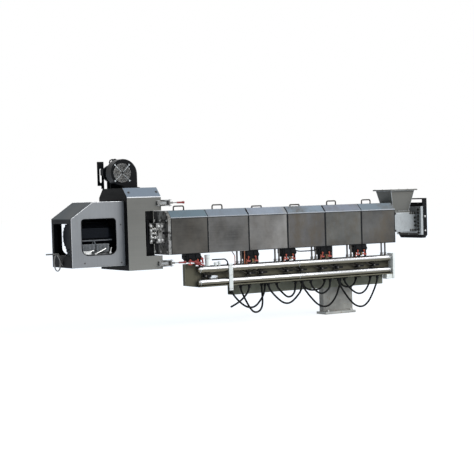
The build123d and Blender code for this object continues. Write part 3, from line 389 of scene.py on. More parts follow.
# The hood takes a painted sky reflection on its upward faces, painted light low down and painted shade on
# its inner faces; the guard takes the same painted shade
sheet_metal("hood_grey", (0.190, 0.177, 0.152), 0.12, 0.42, (2, 2, 60), 0.08, shaded_inside=True,
            bevel=(1.1, 1.3, 1.65), painted_low_light=0.5)
sheet_metal("guard_grey", (0.315, 0.303, 0.290), 0.12, 0.45, (90, 90, 3), 0.08, shaded_inside=True)
sheet_metal("bright_fold", (0.62, 0.62, 0.63), 0.8, 0.35)
sheet_metal("hopper_steel", (0.157, 0.149, 0.129), 0.12, 0.34, (160, 160, 4), 0.12)
sheet_metal("olive_sheet", (0.118, 0.106, 0.070), 0.12, 0.5, (3, 3, 120), 0.3)
sheet_metal("fold_steel", (0.34, 0.345, 0.35), 0.3, 0.35)
paint("slate_roof", (0.026, 0.033, 0.033), 0.45, dust=0.08, mottle=0.25, shine=0.15)
paint("black_paint", (0.006, 0.006, 0.0065), 0.5, (0.05, 0.05, 0.05), 0.03, shine=0.08)
paint("black_gloss", (0.004, 0.004, 0.0045), 0.36, (0.08, 0.08, 0.08), 0.03, shine=0.1)
paint("cream_paint", (0.88, 0.86, 0.77), 0.4, dust=0.1, mottle=0.06, nook_shade_share=0.3)
paint("motor_blue", (0.006, 0.008, 0.012), 0.45, dust=0.1, shine=0.1)
paint("block_grey", (0.22, 0.215, 0.205), 0.5, dust=0.3, shine=0.2)
polished("chrome_pipe", (0.70, 0.71, 0.73), 0.16)
machined("grille_wire", (0.36, 0.36, 0.35), 0.35)
machined("latch_steel", (0.20, 0.198, 0.190), 0.35)
machined("riser_steel", (0.055, 0.053, 0.050), 0.4)
machined("cut_steel", (0.42, 0.43, 0.43))
# The die head's steel is painted with shade towards its far side
machined("die_steel", (0.27, 0.27, 0.262), 0.5, 50, 0.5, shaded_far_side=True)
machined("pale_steel", (0.37, 0.39, 0.395), 0.45, 60, 0.15)
machined("dark_steel", (0.12, 0.115, 0.11), 0.38)
machined("zinc", (0.60, 0.60, 0.58), 0.3, 400, 0.15)
machined("brass", (0.42, 0.27, 0.12), 0.3, 300, 0.5)
machined("copper", (0.42, 0.16, 0.09), 0.32, 300, 0.4)
old_base("base_grey", (0.272, 0.262, 0.232))
# A darker, more olive copy of the base paint, darkened as painted shade because the beam lies in shade
old_base("beam_shaded_base", (0.235, 0.236, 0.172))
old_base("foot_cream", (0.58, 0.57, 0.52))
moulded("red_grip", (0.27, 0.028, 0.022), 0.42, coat=0.1)
moulded("orange_grip", (0.36, 0.050, 0.028), 0.42)
moulded("black_plastic", (0.007, 0.007, 0.0075), shine=0.1)
moulded("grey_plastic", (0.12, 0.12, 0.12))
moulded("white_plastic", (0.78, 0.77, 0.74), 0.45)
braided("hose_black")

NODE_LOOKS = {
    "hood_grey": ("die_hood",),
    "guard_grey": ("guard_front", "guard_back"),
    "slate_roof": ("guard_roof",),
    "hopper_steel": ("hopper",),
    "olive_sheet": ("manifold_plate", "bracket_left"),
    "black_paint": ("end_frame", "cutter_chamber", "guard_floor", "guard_end_frame", "blower_motor",
                    "motor_stand"),
    "black_gloss": ("blower_scroll",),
    "cream_paint": ("bracket_right", "pipe_strap", "pipe_fittings"),
    "motor_blue": ("cutter_motor",),
    "block_grey": ("cutter_carriage",),
    "chrome_pipe": ("upper_pipe", "lower_pipe"),
    "dark_steel": ("screw_barrel", "blower_impeller", "cover_handles"),
    "pale_steel": ("feed_barrel", "feed_plate"),
    "die_steel": ("die_head",),
    "latch_steel": ("release_lever",),
    "riser_steel": ("riser_tubes",),
    "cut_steel": ("latch_upper", "latch_lower"),
    "zinc": ("die_studs", "blower_guard"),
    "base_grey": ("pedestal", "barrel_supports"),
    "beam_shaded_base": ("base_beam",),
    "foot_cream": ("foot_plate",),
    "red_grip": ("latch_upper_lever", "latch_lower_lever"),
    "orange_grip": ("valve_levers",),
    "black_plastic": ("shutoff_valves", "valve_blocks"),
    **{f"cover_steel_{name[-1]}": (name,) for name in COVERS},
}
for look, nodes in NODE_LOOKS.items():
    for node in nodes:
        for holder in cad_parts[node].material_slots:
            holder.material = LOOKS[look]


# Mesh helpers

def piece(name, look, body="machine", flat=False, node=None):
    """Decorator: run a function that fills a form, and make one piece of the result."""
    def make(fill):
        form = Form()
        fill(form)
        data = bpy.data.meshes.new(name)
        form.mesh.to_mesh(data)
        form.mesh.free()
        made = bpy.data.objects.new(name, data)
        bpy.context.scene.collection.objects.link(made)
        data.materials.append(LOOKS[look])
        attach(made, body)
        if not flat:
            soften(data)
        if node:
            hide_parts(node)
        return fill
    return make


def soften(data, angle=35):
    """Smooth shading except over sharp corners."""
    for face in data.polygons:
        face.use_smooth = True
    data.set_sharp_from_angle(angle=math.radians(angle))


def turn_to(start, axis):
    """Placement that carries the origin to a start, and +Z to an axis."""
    turn = Vector(axis).normalized().to_track_quat("Z", "Y").to_matrix().to_4x4()
    return Matrix.Translation(Vector(start)) @ turn


def circle(sides):
    """Cosine and sine of even steps round a circle."""
    for k in range(sides):
        angle = 2 * math.pi * k / sides
        yield math.cos(angle), math.sin(angle)


def corners(half_x, half_y):
    """Four corners of a rectangle, in turn, and the first again."""
    return [(-half_x, -half_y), (half_x, -half_y), (half_x, half_y), (-half_x, half_y), (-half_x, -half_y)]


def eased(spots, radius, steps):
    """A route with each inner corner eased by a short curve."""
    route = [spots[0]]
    for before, corner, after in zip(spots, spots[1:], spots[2:]):
        reach = min(radius, (corner - before).length / 2, (after - corner).length / 2)
        start = corner + (before - corner).normalized() * reach
        end = corner + (after - corner).normalized() * reach
        for step in range(steps + 1):
            share = step / steps
            route.append((1 - share) ** 2 * start + 2 * share * (1 - share) * corner + share ** 2 * end)
    route.append(spots[-1])
    return route


class Form:
    """A mesh in the making, with calls for the simple shapes that it is made of."""

    def __init__(self):
        self.mesh = bmesh.new()

    def bevel(self, edges, width):
        bmesh.ops.bevel(self.mesh, geom=edges, offset=width, segments=2, affect="EDGES")

    def box(self, low, high, round_off=0.0):
        """A block between two corners, with its edges rounded."""
        made = bmesh.ops.create_cube(self.mesh, size=1.0)["verts"]
        bmesh.ops.scale(self.mesh, vec=[b - a for a, b in zip(low, high)], verts=made)
        bmesh.ops.translate(self.mesh, vec=[(b + a) / 2 for a, b in zip(low, high)], verts=made)
        if round_off:
            self.bevel(edges_of(made), round_off)

    def side_box(self, side, y, thick, low, high, round_off):
        """A plate on one side of the machine, between two (x, z) corners."""
        near, far = sorted((side * y, side * (y + thick)))
        self.box((low[0], near, low[1]), (high[0], far, high[1]), round_off)

    def bar(self, centre, axis, radius, length, sides=16, top=None, round_off=0.0):
        """A bar that starts at a centre and runs along an axis, tapered to a top radius."""
        place = turn_to(centre, axis) @ Matrix.Translation((0, 0, length / 2))
        made = bmesh.ops.create_cone(
            self.mesh, cap_ends=True, segments=sides, radius1=radius,
            radius2=radius if top is None else top, depth=length, matrix=place)["verts"]
        if round_off:
            rims = [edge for edge in edges_of(made) if any(len(face.verts) > 4 for face in edge.link_faces)]
            self.bevel(rims, round_off)

    def bolt(self, centre, axis, radius, height=None):
        """A hexagon head on a washer."""
        tall = height or radius * 0.8
        ahead = Vector(axis).normalized()
        self.bar(centre, axis, radius * 1.35, tall * 0.22, 14)
        self.bar(Vector(centre) + ahead * tall * 0.2, axis, radius, tall * 0.8, 6, radius * 0.94)

    def bolts(self, xs, ys, zs, axis, radius):
        """Bolts wherever three rows of places cross."""
        for spot in product(xs, ys, zs):
            self.bolt(spot, axis, radius)

    def side_bolts(self, spots, y, radius):
        """Bolts at (x, z) spots on both sides of the machine."""
        for x, z in spots:
            for side in SIDES:
                self.bolt((x, side * y, z), (0, side, 0), radius)

    def skin(self, rings):
        """Faces from each ring of points to the next, and one over each end."""
        rings = [[self.mesh.verts.new(point) for point in ring] for ring in rings]
        sides = len(rings[0])
        for first, second in zip(rings, rings[1:]):
            for k in range(sides):
                self.mesh.faces.new((first[k], first[(k + 1) % sides], second[(k + 1) % sides], second[k]))
        self.mesh.faces.new(rings[0][::-1])
        self.mesh.faces.new(rings[-1])

    def tube(self, points, radius, sides=10, ease=0.0, steps=5):
        """A bent bar through points, with mitred or eased corners."""
        spots = [Vector(point) for point in points]
        if ease:
            spots = eased(spots, ease, steps)
        rings = []
        for index, spot in enumerate(spots):
            ahead = spots[min(index + 1, len(spots) - 1)] - spots[max(index - 1, 0)]
            before = (spot - spots[index - 1]).normalized() if index else ahead.normalized()
            after = (spots[index + 1] - spot).normalized() if index + 1 < len(spots) else before
            facing = (before + after).normalized()
            side = last_side - facing * last_side.dot(facing) if rings else facing.orthogonal()
            side.normalize()
            last_side = side
            up = facing.cross(side)
            rings.append([spot + radius * (x * side + y * up) for x, y in circle(sides)])
        self.skin(rings)

    def lathe(self, start, axis, profile, sides=20):
        """A turned body: rings of (distance, radius) from a start along an axis, closed at both ends."""
        place = turn_to(start, axis)
        self.skin([
            [place @ Vector((radius * x, radius * y, distance)) for x, y in circle(sides)]
            for distance, radius in profile])

    def ring(self, centre, axis, radius, thick, sides=40, tube=8):
        """A round wire bent to a full circle."""
        place = turn_to(centre, axis)
        rings = [
            [self.mesh.verts.new(place @ Vector((
                (radius + thick * out) * x, (radius + thick * out) * y, thick * rise)))
             for out, rise in circle(tube)]
            for x, y in circle(sides)]
        for first, second in zip(rings, rings[1:] + rings[:1]):
            for j in range(tube):
                self.mesh.faces.new((first[j], second[j], second[(j + 1) % tube], first[(j + 1) % tube]))


def edges_of(verts):
    """Every edge that meets some corners, each once."""
    return list({edge for vert in verts for edge in vert.link_edges})


# Hoses: the routes of the source, in metres, each in its own upright plane
HOSE_DIAMETER = 0.020
HOSES = {
    "hose_1": (-0.190, 0.343, "bare", (
        (-1.225, 0.402), (-1.225, 0.345), (-1.262, 0.292), (-1.322, 0.240), (-1.388, 0.203),
        (-1.452, 0.178))),
    "hose_2": (-0.160, 0.712, "object", (
        (-1.430, 0.402), (-1.430, 0.345), (-1.386, 0.278), (-1.310, 0.203), (-1.232, 0.155),
        (-1.146, 0.152), (-1.074, 0.216), (-1.013, 0.310), (-1.013, 0.402))),
    "hose_3": (-0.130, 0.725, "object", (
        (-1.294, 0.402), (-1.294, 0.345), (-1.258, 0.272), (-1.222, 0.205), (-1.182, 0.140),
        (-1.138, 0.096), (-1.078, 0.098), (-1.038, 0.140), (-1.027, 0.212), (-1.036, 0.308),
        (-1.036, 0.402))),
    "hose_4": (-0.190, 0.688, "object", (
        (-0.990, 0.402), (-0.990, 0.350), (-0.945, 0.290), (-0.868, 0.216), (-0.796, 0.170),
        (-0.722, 0.168), (-0.645, 0.222), (-0.566, 0.308), (-0.566, 0.402))),
    "hose_5": (-0.160, 0.461, "object", (
        (-0.868, 0.402), (-0.868, 0.350), (-0.822, 0.302), (-0.775, 0.258), (-0.730, 0.228),
        (-0.672, 0.240), (-0.632, 0.300), (-0.632, 0.402))),
    "hose_6": (-0.160, 0.851, "object", (
        (-0.552, 0.402), (-0.552, 0.350), (-0.505, 0.285), (-0.437, 0.205), (-0.352, 0.124),
        (-0.272, 0.094), (-0.192, 0.108), (-0.117, 0.185), (-0.076, 0.272), (-0.052, 0.338),
        (-0.052, 0.402))),
    "hose_7": (-0.130, 0.433, "object", (
        (-0.522, 0.402), (-0.522, 0.350), (-0.482, 0.306), (-0.428, 0.284), (-0.360, 0.280),
        (-0.300, 0.288), (-0.254, 0.322), (-0.236, 0.362), (-0.236, 0.402))),
    "hose_8": (-0.190, 0.455, "object", (
        (-0.458, 0.402), (-0.458, 0.355), (-0.420, 0.302), (-0.368, 0.256), (-0.308, 0.240),
        (-0.254, 0.262), (-0.204, 0.310), (-0.204, 0.402))),
    "hose_9": (-0.190, 0.908, "object", (
        (-0.098, 0.402), (-0.098, 0.350), (-0.058, 0.288), (0.000, 0.208), (0.068, 0.128),
        (0.140, 0.076), (0.225, 0.064), (0.300, 0.112), (0.358, 0.200), (0.404, 0.288),
        (0.428, 0.345), (0.428, 0.402))),
    "hose_10": (-0.130, 0.368, "object", (
        (-0.038, 0.402), (-0.038, 0.346), (0.004, 0.302), (0.062, 0.286), (0.122, 0.288),
        (0.180, 0.338), (0.180, 0.402))),
    "hose_11": (-0.160, 0.571, "object", (
        (0.004, 0.402), (0.004, 0.354), (0.042, 0.308), (0.100, 0.254), (0.165, 0.212),
        (0.228, 0.206), (0.288, 0.238), (0.330, 0.300), (0.354, 0.356), (0.354, 0.402))),
}


def hose(name):
    """One hanging hose as a smooth spline over its route."""
    depth, length, far_end, route = HOSES[name]
    curve = bpy.data.curves.new(name + "_line", "CURVE")
    curve.dimensions = "3D"
    spline = curve.splines.new("NURBS")
    spline.points.add(len(route) - 1)
    for point, (x, z) in zip(spline.points, route):
        point.co = (x, depth, z, 1.0)
    spline.order_u = 3
    spline.use_endpoint_u = True
    spline.resolution_u = 10
    curve.bevel_depth = HOSE_DIAMETER / 2
    curve.bevel_resolution = 4
    curve.use_fill_caps = True
    made = bpy.data.objects.new(name + "_line", curve)
    bpy.context.scene.collection.objects.link(made)
    curve.materials.append(LOOKS["hose_black"])
    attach(made, "machine")
    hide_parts(name)


for hose_name in HOSES:
    hose(hose_name)


# Covers
HANDLE_HEIGHTS = (0.050, 0.050, 0.024, 0.024, 0.050, 0.050)
HANDLE_HALF = 0.059
HANDLE_BAR = 0.0072
HEM_WIDTH = 0.007


def cover_boxes():
    """Of each cover, its two corners and the height of its shoulder."""
    for name in COVERS:
        low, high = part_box(name)
        yield low, high, high.z - COVER_BEVEL


@piece("cover_fold_lips", "fold_steel", flat=True)
def cover_folds(form):
    """Pale lips along the lower edge of each bevel."""
    for low, high, shoulder in cover_boxes():
        for side in SIDES:
            form.side_box(side, high.y, 0.0025, (low.x, shoulder - 0.008), (high.x, shoulder + 0.001),
                     0.0008)


@piece("cover_seam_strips", "black_plastic", flat=True)
def cover_seams(form):
    """Black strips painted as the shadow under each fold and in the gaps between covers."""
    for index, (low, high, shoulder) in enumerate(cover_boxes()):
        form.box((low.x + 0.006, low.y - 0.0012, shoulder - 0.014),
                (high.x - 0.006, low.y, shoulder - 0.009))
        if index:
            form.box((low.x - 0.006, low.y + 0.001, low.z + 0.002),
                    (low.x, high.y - 0.001, shoulder))


@piece("cover_end_hems", "cover_steel_2", flat=True)
def cover_hems(form):
    """Folded flanges down the ends of each cover and along its lower edge, with small rivets."""
    for low, high, shoulder in cover_boxes():
        for side in SIDES:
            plate = partial(form.side_box, side, high.y, 0.0015, round_off=0.0006)
            for left in (low.x, high.x - HEM_WIDTH):
                plate(low=(left, low.z), high=(left + HEM_WIDTH, shoulder - 0.015))
            plate(low=(low.x + 0.008, low.z), high=(high.x - 0.008, low.z + 0.006))
            for x in (low.x + 0.025, high.x - 0.025):
                form.bar((x, side * high.y, low.z + 0.018), (0, side, 0), 0.003, 0.0015, 10)


@piece("cover_bow_handles", "riser_steel", node="cover_handles")
def bow_handles(form):
    """Bent round bars on small feet, one on each cover."""
    for (low, high, _), tall in zip(cover_boxes(), HANDLE_HEIGHTS):
        middle = (low.x + high.x) / 2
        crown = high.z + tall - HANDLE_BAR
        left, right = middle - HANDLE_HALF, middle + HANDLE_HALF
        route = [(left, 0, high.z), (left, 0, crown), (right, 0, crown), (right, 0, high.z)]
        form.tube(route, HANDLE_BAR, ease=0.018)
        for x in (left, right):
            form.bar((x, 0, high.z), UP, 0.011, 0.004, 16, 0.008)


# Hood
NOTCH_LEFT = -2.465
NOTCH_LOW = 0.748
NOTCH_HIGH = 1.190


@piece("hood_fold_lines", "bright_fold", flat=True)
def hood_trim(form):
    """Pale fold line under the front slope of the hood."""
    shoulder = hood_high.z - HOOD_BEVEL
    form.box((hood_low.x, hood_low.y - 0.002, shoulder - 0.008),
            (hood_high.x, hood_low.y, shoulder + 0.001), 0.0006)


@piece("hood_notch_lip", "hood_grey")
def notch_lip(form):
    """Rolled edge along the opening in each side of the hood."""
    for side in SIDES:
        y = side * (hood_high.y - 0.0024)
        route = [(hood_high.x, y, NOTCH_HIGH), (NOTCH_LEFT, y, NOTCH_HIGH),
                 (NOTCH_LEFT, y, NOTCH_LOW), (hood_high.x, y, NOTCH_LOW)]
        form.tube(route, 0.0022, 6, ease=0.006, steps=3)


@piece("hood_screws", "dark_steel", flat=True)
def hood_bolts(form):
    """Screws on the two slopes of the hood."""
    slope = hood_high.z - HOOD_BEVEL / 2
    for x, side in product((-2.613, -2.313), SIDES):
        form.bolt((x, side * (hood_high.y - HOOD_BEVEL / 2), slope), (0, side, 1), 0.009)


# Guard
GUARD_EDGE = -guard_low.y
WINDOW_LEFT = -3.107
WINDOW_LOW = 0.783
WINDOW_HIGH = 1.130
WINDOW_CUT = 0.040
WINDOW_LENGTHS = (0.362, 0.250)
ROOF_LEFT = -3.212
ROOF_RUN = 0.229
ROOF_RISE = 0.154
ROOF_FOOT = guard_high.z - ROOF_RISE
ROOF_NORMAL = Vector((-ROOF_RISE, 0, ROOF_RUN)).normalized()
GUARD_SCREWS = ((-2.694, 1.067), (-2.696, 0.699), (-3.082, 0.710))
ROOF_RIVETS = (-3.19, -3.13, -3.06, -3.0)


@piece("guard_window_rims", "black_plastic")
def window_rims(form):
    """Rolled rim round each window of the guard."""
    for side, length in zip(SIDES, WINDOW_LENGTHS):
        right = WINDOW_LEFT + length
        middle = (WINDOW_LEFT + right) / 2
        step = WINDOW_LOW + WINDOW_CUT
        outline = [(middle, WINDOW_LOW), (right - WINDOW_CUT, WINDOW_LOW), (right, step),
                   (right, WINDOW_HIGH), (WINDOW_LEFT, WINDOW_HIGH), (WINDOW_LEFT, step),
                   (WINDOW_LEFT + WINDOW_CUT, WINDOW_LOW), (middle, WINDOW_LOW)]
        route = [(x, side * (GUARD_EDGE + 0.001), z) for x, z in outline]
        form.tube(route, 0.003, 8, ease=0.034)


@piece("guard_bare_edges", "bright_fold")
def guard_trim(form):
    """Bright bare edges where the roof meets the side sheets."""
    left, top = guard_low.x + 0.001, guard_high.z - 0.0005
    for side in SIDES:
        y = side * (GUARD_EDGE - 0.001)
        route = [(left, y, guard_low.z + 0.004), (left, y, ROOF_FOOT),
                 (guard_low.x + ROOF_RUN, y, top), (guard_high.x - 0.002, y, top)]
        form.tube(route, 0.0018, 6, ease=0.008, steps=3)


@piece("guard_screws", "dark_steel", flat=True)
def guard_screws(form):
    """Screws of the side sheets, and the rivets that hold the roof's slope."""
    form.side_bolts(GUARD_SCREWS, GUARD_EDGE, 0.006)
    for x in ROOF_RIVETS:
        rise = (x - ROOF_LEFT) / ROOF_RUN * ROOF_RISE
        for y in (-0.205, 0.205):
            form.bar((x, y, ROOF_FOOT + rise), ROOF_NORMAL, 0.005, 0.002, 10)


@piece("guard_front_hem", "guard_grey", flat=True)
def guard_hem(form):
    """Lower hem of the front sheet, folded out as a narrow ledge."""
    form.box((guard_low.x + 0.15, guard_low.y - 0.006, guard_low.z),
            (guard_high.x - 0.004, guard_low.y, guard_low.z + 0.006), 0.001)


# Cutter motor and carriage, seen through the windows
BOX_LOW = (-3.085, -0.165, 0.945)
BOX_HIGH = (-2.79, -0.128, 1.040)
RIB_FRONT, RIB_BACK = -0.196, -0.19
CLAMP_Y = -0.206
CLAMPS = (
    ((-3.09, 0.792), (-2.975, 0.828)),
    ((-2.955, 0.792), (-2.845, 0.842)),
    ((-3.06, 0.800), (-3.02, 0.800)),
    ((-2.80, 0.800), (-2.785, 0.850)),
)


@piece("cutter_terminal_box", "motor_blue", flat=True)
def terminal_box(form):
    """Ribbed terminal box that faces the window, and a small box on the motor's back shoulder."""
    form.box(BOX_LOW, BOX_HIGH, 0.004)
    for k in range(7):
        z = BOX_LOW[2] + 0.010 + k * 0.0125
        form.box((BOX_LOW[0] + 0.012, BOX_LOW[1] - 0.006, z),
                (BOX_HIGH[0] - 0.012, BOX_LOW[1] + 0.001, z + 0.006), 0.001)
    form.box((-2.965, 0.070, 1.050), (-2.862, 0.196, 1.138), 0.006)


@piece("carriage_bellows", "block_grey", flat=True)
def slide_ribs(form):
    """Bellows ribs along the two slide blocks."""
    for left in (-3.083, -2.937):
        for k in range(9):
            x = left + 0.006 + k * 0.0145
            form.box((x, RIB_FRONT, 0.812), (x + 0.008, RIB_BACK, 0.882), 0.001)


@piece("cutter_clamp_levers", "zinc")
def clamp_levers(form):
    """Bright levers that cross low in the window, each on its pivot."""
    for start, end in CLAMPS:
        form.tube([(x, CLAMP_Y, z) for x, z in (start, end)], 0.0065, 8)
        form.bar((start[0], CLAMP_Y - 0.008, start[1]), BACK, 0.011, 0.018, 12, round_off=0.002)
    form.box((-3.083, -0.212, 0.79), (-3.0, -0.2, 0.823), 0.003)


@piece("cutter_shelf_bar", "grey_plastic")
def shelf_post(form):
    """Shelf bar under the terminal box and the post that carries it."""
    form.tube([(-2.952, -0.165, 0.925), (-2.93, -0.175, 0.86)], 0.008, 8)
    form.box((-3.10, -0.168, 0.916), (-2.79, -0.152, 0.926), 0.002)


# Die head
DIE_FRONT = -0.150
BARREL_PLATE_X = -2.166


@piece("die_head_bolts", "zinc", flat=True)
def die_details(form):
    """Screws on the die head's front, and round the plate that meets the barrel."""
    column = [AXIS_HEIGHT + z for z in (-0.075, -0.03, 0.03, 0.075)]
    pair = [AXIS_HEIGHT - 0.07, AXIS_HEIGHT + 0.07]
    form.bolts([-2.321], [DIE_FRONT], column, FRONT, 0.008)
    form.bolts([-2.235, -2.195], [DIE_FRONT], pair, FRONT, 0.010)
    form.bolts([BARREL_PLATE_X], [-0.19, -0.06, 0.06, 0.19], [0.775, 1.085], LEFT, 0.010)


@piece("die_head_slots", "black_plastic", flat=True)
def die_recess(form):
    """Black strips and discs painted as the shade inside the slots and the thermometer holes of the adapter
    block.
    """
    for left, right, low, high in ((-2.254, -2.240, 0.935, 0.995), (-2.334, -2.328, 0.892, 1.034)):
        form.box((left, -0.1515, low), (right, -0.1495, high), 0.0005)
    form.bar((-2.1665, -0.175, 1.085), LEFT, 0.016, 0.003, 20)
    form.bar((-2.185, -0.1495, 0.963), FRONT, 0.011, 0.002, 20)


# Latches
PIN_X = -2.206
PIN_Y = -0.338
HOOK_X = -2.322
LATCHES = (("upper", 1.262), ("lower", 0.671))


def latch_clamp(form, z):
    """Hook, draw loop, side cheeks and rivets of one latch."""
    form.box((HOOK_X - 0.014, -0.338, z - 0.020), (HOOK_X + 0.010, -0.3125, z + 0.020), 0.004)
    loop = [(PIN_X - 0.02, -0.330, z + 0.020), (HOOK_X - 0.006, -0.333, z + 0.014),
            (HOOK_X - 0.018, -0.333, z), (HOOK_X - 0.006, -0.333, z - 0.014),
            (PIN_X - 0.02, -0.330, z - 0.020)]
    form.tube(loop, 0.0045, 10, ease=0.012, steps=4)
    for side in SIDES:
        cheek = z + side * 0.0295
        form.bolt((PIN_X, PIN_Y, z + side * 0.028), (0, 0, side), 0.008, 0.006)
        form.box((-2.29, -0.35, cheek - 0.0015), (-2.19, -0.314, cheek + 0.0015), 0.001)
    form.bolts([-2.328, -2.298], [-0.316], [z + 0.020, z - 0.020], FRONT, 0.005)


def latch_arm(form, z):
    """Turning arm with its boss and thin rod."""
    boss = ((0, 0.007), (0.001, 0.009), (0.043, 0.009), (0.044, 0.007))
    form.lathe((PIN_X, PIN_Y, z - 0.022), UP, boss)
    form.box((PIN_X + 0.002, PIN_Y - 0.006, z - 0.010), (PIN_X + 0.040, PIN_Y + 0.006, z + 0.010),
            0.003)
    form.bar((PIN_X + 0.036, PIN_Y, z), RIGHT, 0.005, 0.06, 16)


def latch_grip(form, z):
    """Red grip that swells to a knob at its tip."""
    profile = ((0, 0.006), (0.002, 0.009), (0.05, 0.009), (0.062, 0.0105), (0.070, 0.0130),
               (0.080, 0.0130), (0.084, 0.007))
    form.lathe((PIN_X + 0.082, PIN_Y, z), RIGHT, profile)


for latch, latch_z in LATCHES:
    lever = f"{latch}_lever"
    node = f"latch_{lever}"
    piece(f"latch_{latch}_clamp", "latch_steel")(partial(latch_clamp, z=latch_z))
    piece(f"latch_{latch}_arm", "latch_steel", body=lever, node=node)(partial(latch_arm, z=latch_z))
    piece(f"latch_{latch}_grip", "red_grip", lever)(partial(latch_grip, z=latch_z))


# Manifold: pipes, risers, fittings and valves
PIPE_Y = -0.190
PIPES = (("upper_pipe", 0.578), ("lower_pipe", 0.446))
PIPE_CROWN = 0.6143
PIPE_JOINT = -0.61
RISER_TOP = 0.880
RISER_SPOTS = [-1.338 + k * 0.464 + side * 0.0245 for k in range(5) for side in SIDES]
BLOCK_SPOTS = [-1.880] + [-1.196 + k * 0.464 for k in range(4)]
TEE_REACH = 0.0425
TEE_Z = 0.679
TEE_FACE = -0.2165
DRAINS = (
    ((-1.930, 0.668), (-1.800, 0.648)),
    ((-1.842, 0.640), (-1.772, 0.622)),
    ((-1.790, 0.690), (-1.782, 0.640)),
)
SHUTOFF_SPOTS = (-1.746, -1.222, -1.076, -0.760, -0.577, -0.314, -0.111, 0.168, 0.378)
SHUTOFF_Z = 0.512
VENT_X = -1.475
TRAY_EDGES = ((-0.2235, 0.4115), (-0.1517, 0.6115))


def round_pipe(form, z):
    """Drawn tube with coned caps."""
    long = pipe_high.x - pipe_low.x
    cap = ((0, 0.021), (0.0015, 0.0225), (0.014, 0.0355), (0.016, 0.036))
    profile = cap + tuple((long - distance, radius) for distance, radius in reversed(cap))
    form.lathe((pipe_low.x, PIPE_Y, z), RIGHT, profile, 48)


for pipe_node, pipe_z in PIPES:
    piece(f"{pipe_node}_round", "chrome_pipe", node=pipe_node)(
        partial(round_pipe, z=pipe_z))


@piece("pipe_weld_rings", "pale_steel")
def pipe_welds(form):
    """Weld rings at the caps and at the joint of each pipe."""
    bead = ((0, 0.0358), (0.002, 0.0368), (0.006, 0.0368), (0.008, 0.0358))
    for _, z in PIPES:
        for x in (pipe_low.x + 0.020, pipe_high.x - 0.020, PIPE_JOINT):
            form.lathe((x - 0.004, PIPE_Y, z), RIGHT, bead, 40)


@piece("riser_rounds", "dark_steel", node="riser_tubes")
def riser_rounds(form):
    """Tubes that rise from the upper pipe and bend in under the covers."""
    for x in RISER_SPOTS:
        route = [(x, PIPE_Y, PIPE_CROWN), (x, PIPE_Y, RISER_TOP), (x, -0.108, RISER_TOP)]
        form.tube(route, 0.0098, 16, ease=0.03)


@piece("riser_sockets", "dark_steel")
def riser_sockets(form):
    """Welded sockets and nuts at the foot of each riser."""
    socket = ((0, 0.017), (0.010, 0.016), (0.012, 0.013), (0.018, 0.013))
    for x in RISER_SPOTS:
        form.lathe((x, PIPE_Y, 0.611), UP, socket)
        form.bar((x, PIPE_Y, 0.628), UP, 0.0155, 0.014, 6)


@piece("copper_lines", "copper")
def copper_lines(form):
    """Thin reddish lines beside the first risers and under the valve blocks."""
    form.tube([(-1.392, -0.196, 0.612), (-1.392, -0.196, 0.70), (-1.392, -0.14, 0.744)], 0.0045,
             ease=0.02)
    form.tube([(-1.286, -0.214, 0.612), (-1.286, -0.214, 0.744)], 0.0045)
    for x in BLOCK_SPOTS[1:]:
        route = [(x - 0.06, -0.206, 0.66), (x - 0.066, -0.206, 0.625), (x - 0.05, -0.196, 0.606)]
        form.tube(route, 0.005, ease=0.015)


@piece("black_lines", "black_plastic")
def black_lines(form):
    """Plastic line that runs from one valve block to the next, and the looms under the blocks."""
    route = [(-0.66, -0.2, 0.722), (-0.60, -0.2, 0.706), (-0.42, -0.2, 0.706), (-0.35, -0.2, 0.722)]
    form.tube(route, 0.006, ease=0.03)
    for block in BLOCK_SPOTS[1:]:
        for x in (block - 0.025, block):
            loom = [(x, -0.19, 0.66), (x + 0.008, -0.2, 0.635), (x - 0.01, -0.19, 0.612)]
            form.tube(loom, 0.008, ease=0.015)


@piece("valve_block_bodies", "black_plastic", node="valve_blocks")
def block_bodies(form):
    """Bodies, posts, end plugs and coils of the valve blocks."""
    plug = ((0, 0.018), (0.003, 0.021), (0.013, 0.021), (0.016, 0.024), (0.03, 0.024))
    for x in BLOCK_SPOTS:
        form.box((x - 0.085, -0.210, 0.690), (x + 0.085, -0.110, 0.743), 0.004)
        form.box((x - 0.066, -0.205, 0.657), (x + 0.066, -0.118, 0.692), 0.003)
        for side in SIDES:
            post, coil = x + side * 0.075, x + side * 0.042
            if post > pipe_low.x:
                form.bar((post, PIPE_Y, PIPE_CROWN), UP, 0.013, 0.08, 16)
            form.lathe((x + side * 0.1, -0.180, 0.701), (-side, 0, 0), plug)
            form.box((coil - 0.024, -0.2155, 0.697), (coil + 0.024, -0.2095, 0.738), 0.003)


@piece("valve_block_brass", "brass")
def block_brass(form):
    """Brass unions on the valve blocks, and under those that stand over the pipe."""
    for x in BLOCK_SPOTS:
        for side in SIDES:
            hub = x + side * TEE_REACH
            form.bar((hub, -0.2095, TEE_Z), FRONT, 0.011, 0.005, 6)
            if x != BLOCK_SPOTS[0]:
                form.bar((hub, -0.17, 0.645), UP, 0.012, 0.013, 6)
                form.bar((hub, -0.17, 0.622), UP, 0.009, 0.024, 14)


@piece("valve_tee_handles", "orange_grip", node="valve_levers")
def tee_handles(form):
    """Two hanging handles on each block, a thin stem with a short rounded bar."""
    for x in BLOCK_SPOTS:
        for side in SIDES:
            hub = x + side * TEE_REACH
            foot = hub + side * 0.006
            form.bar((hub, -0.2145, TEE_Z), FRONT, 0.009, 0.005, 14)
            form.tube([(hub, TEE_FACE, 0.680), (foot, TEE_FACE, 0.640)], 0.0060, 8)
            bar = [(foot - 0.024, -0.216, 0.645), (foot, TEE_FACE, 0.634), (foot + 0.024, -0.216, 0.638)]
            form.tube(bar, 0.0075, 8, ease=0.01)


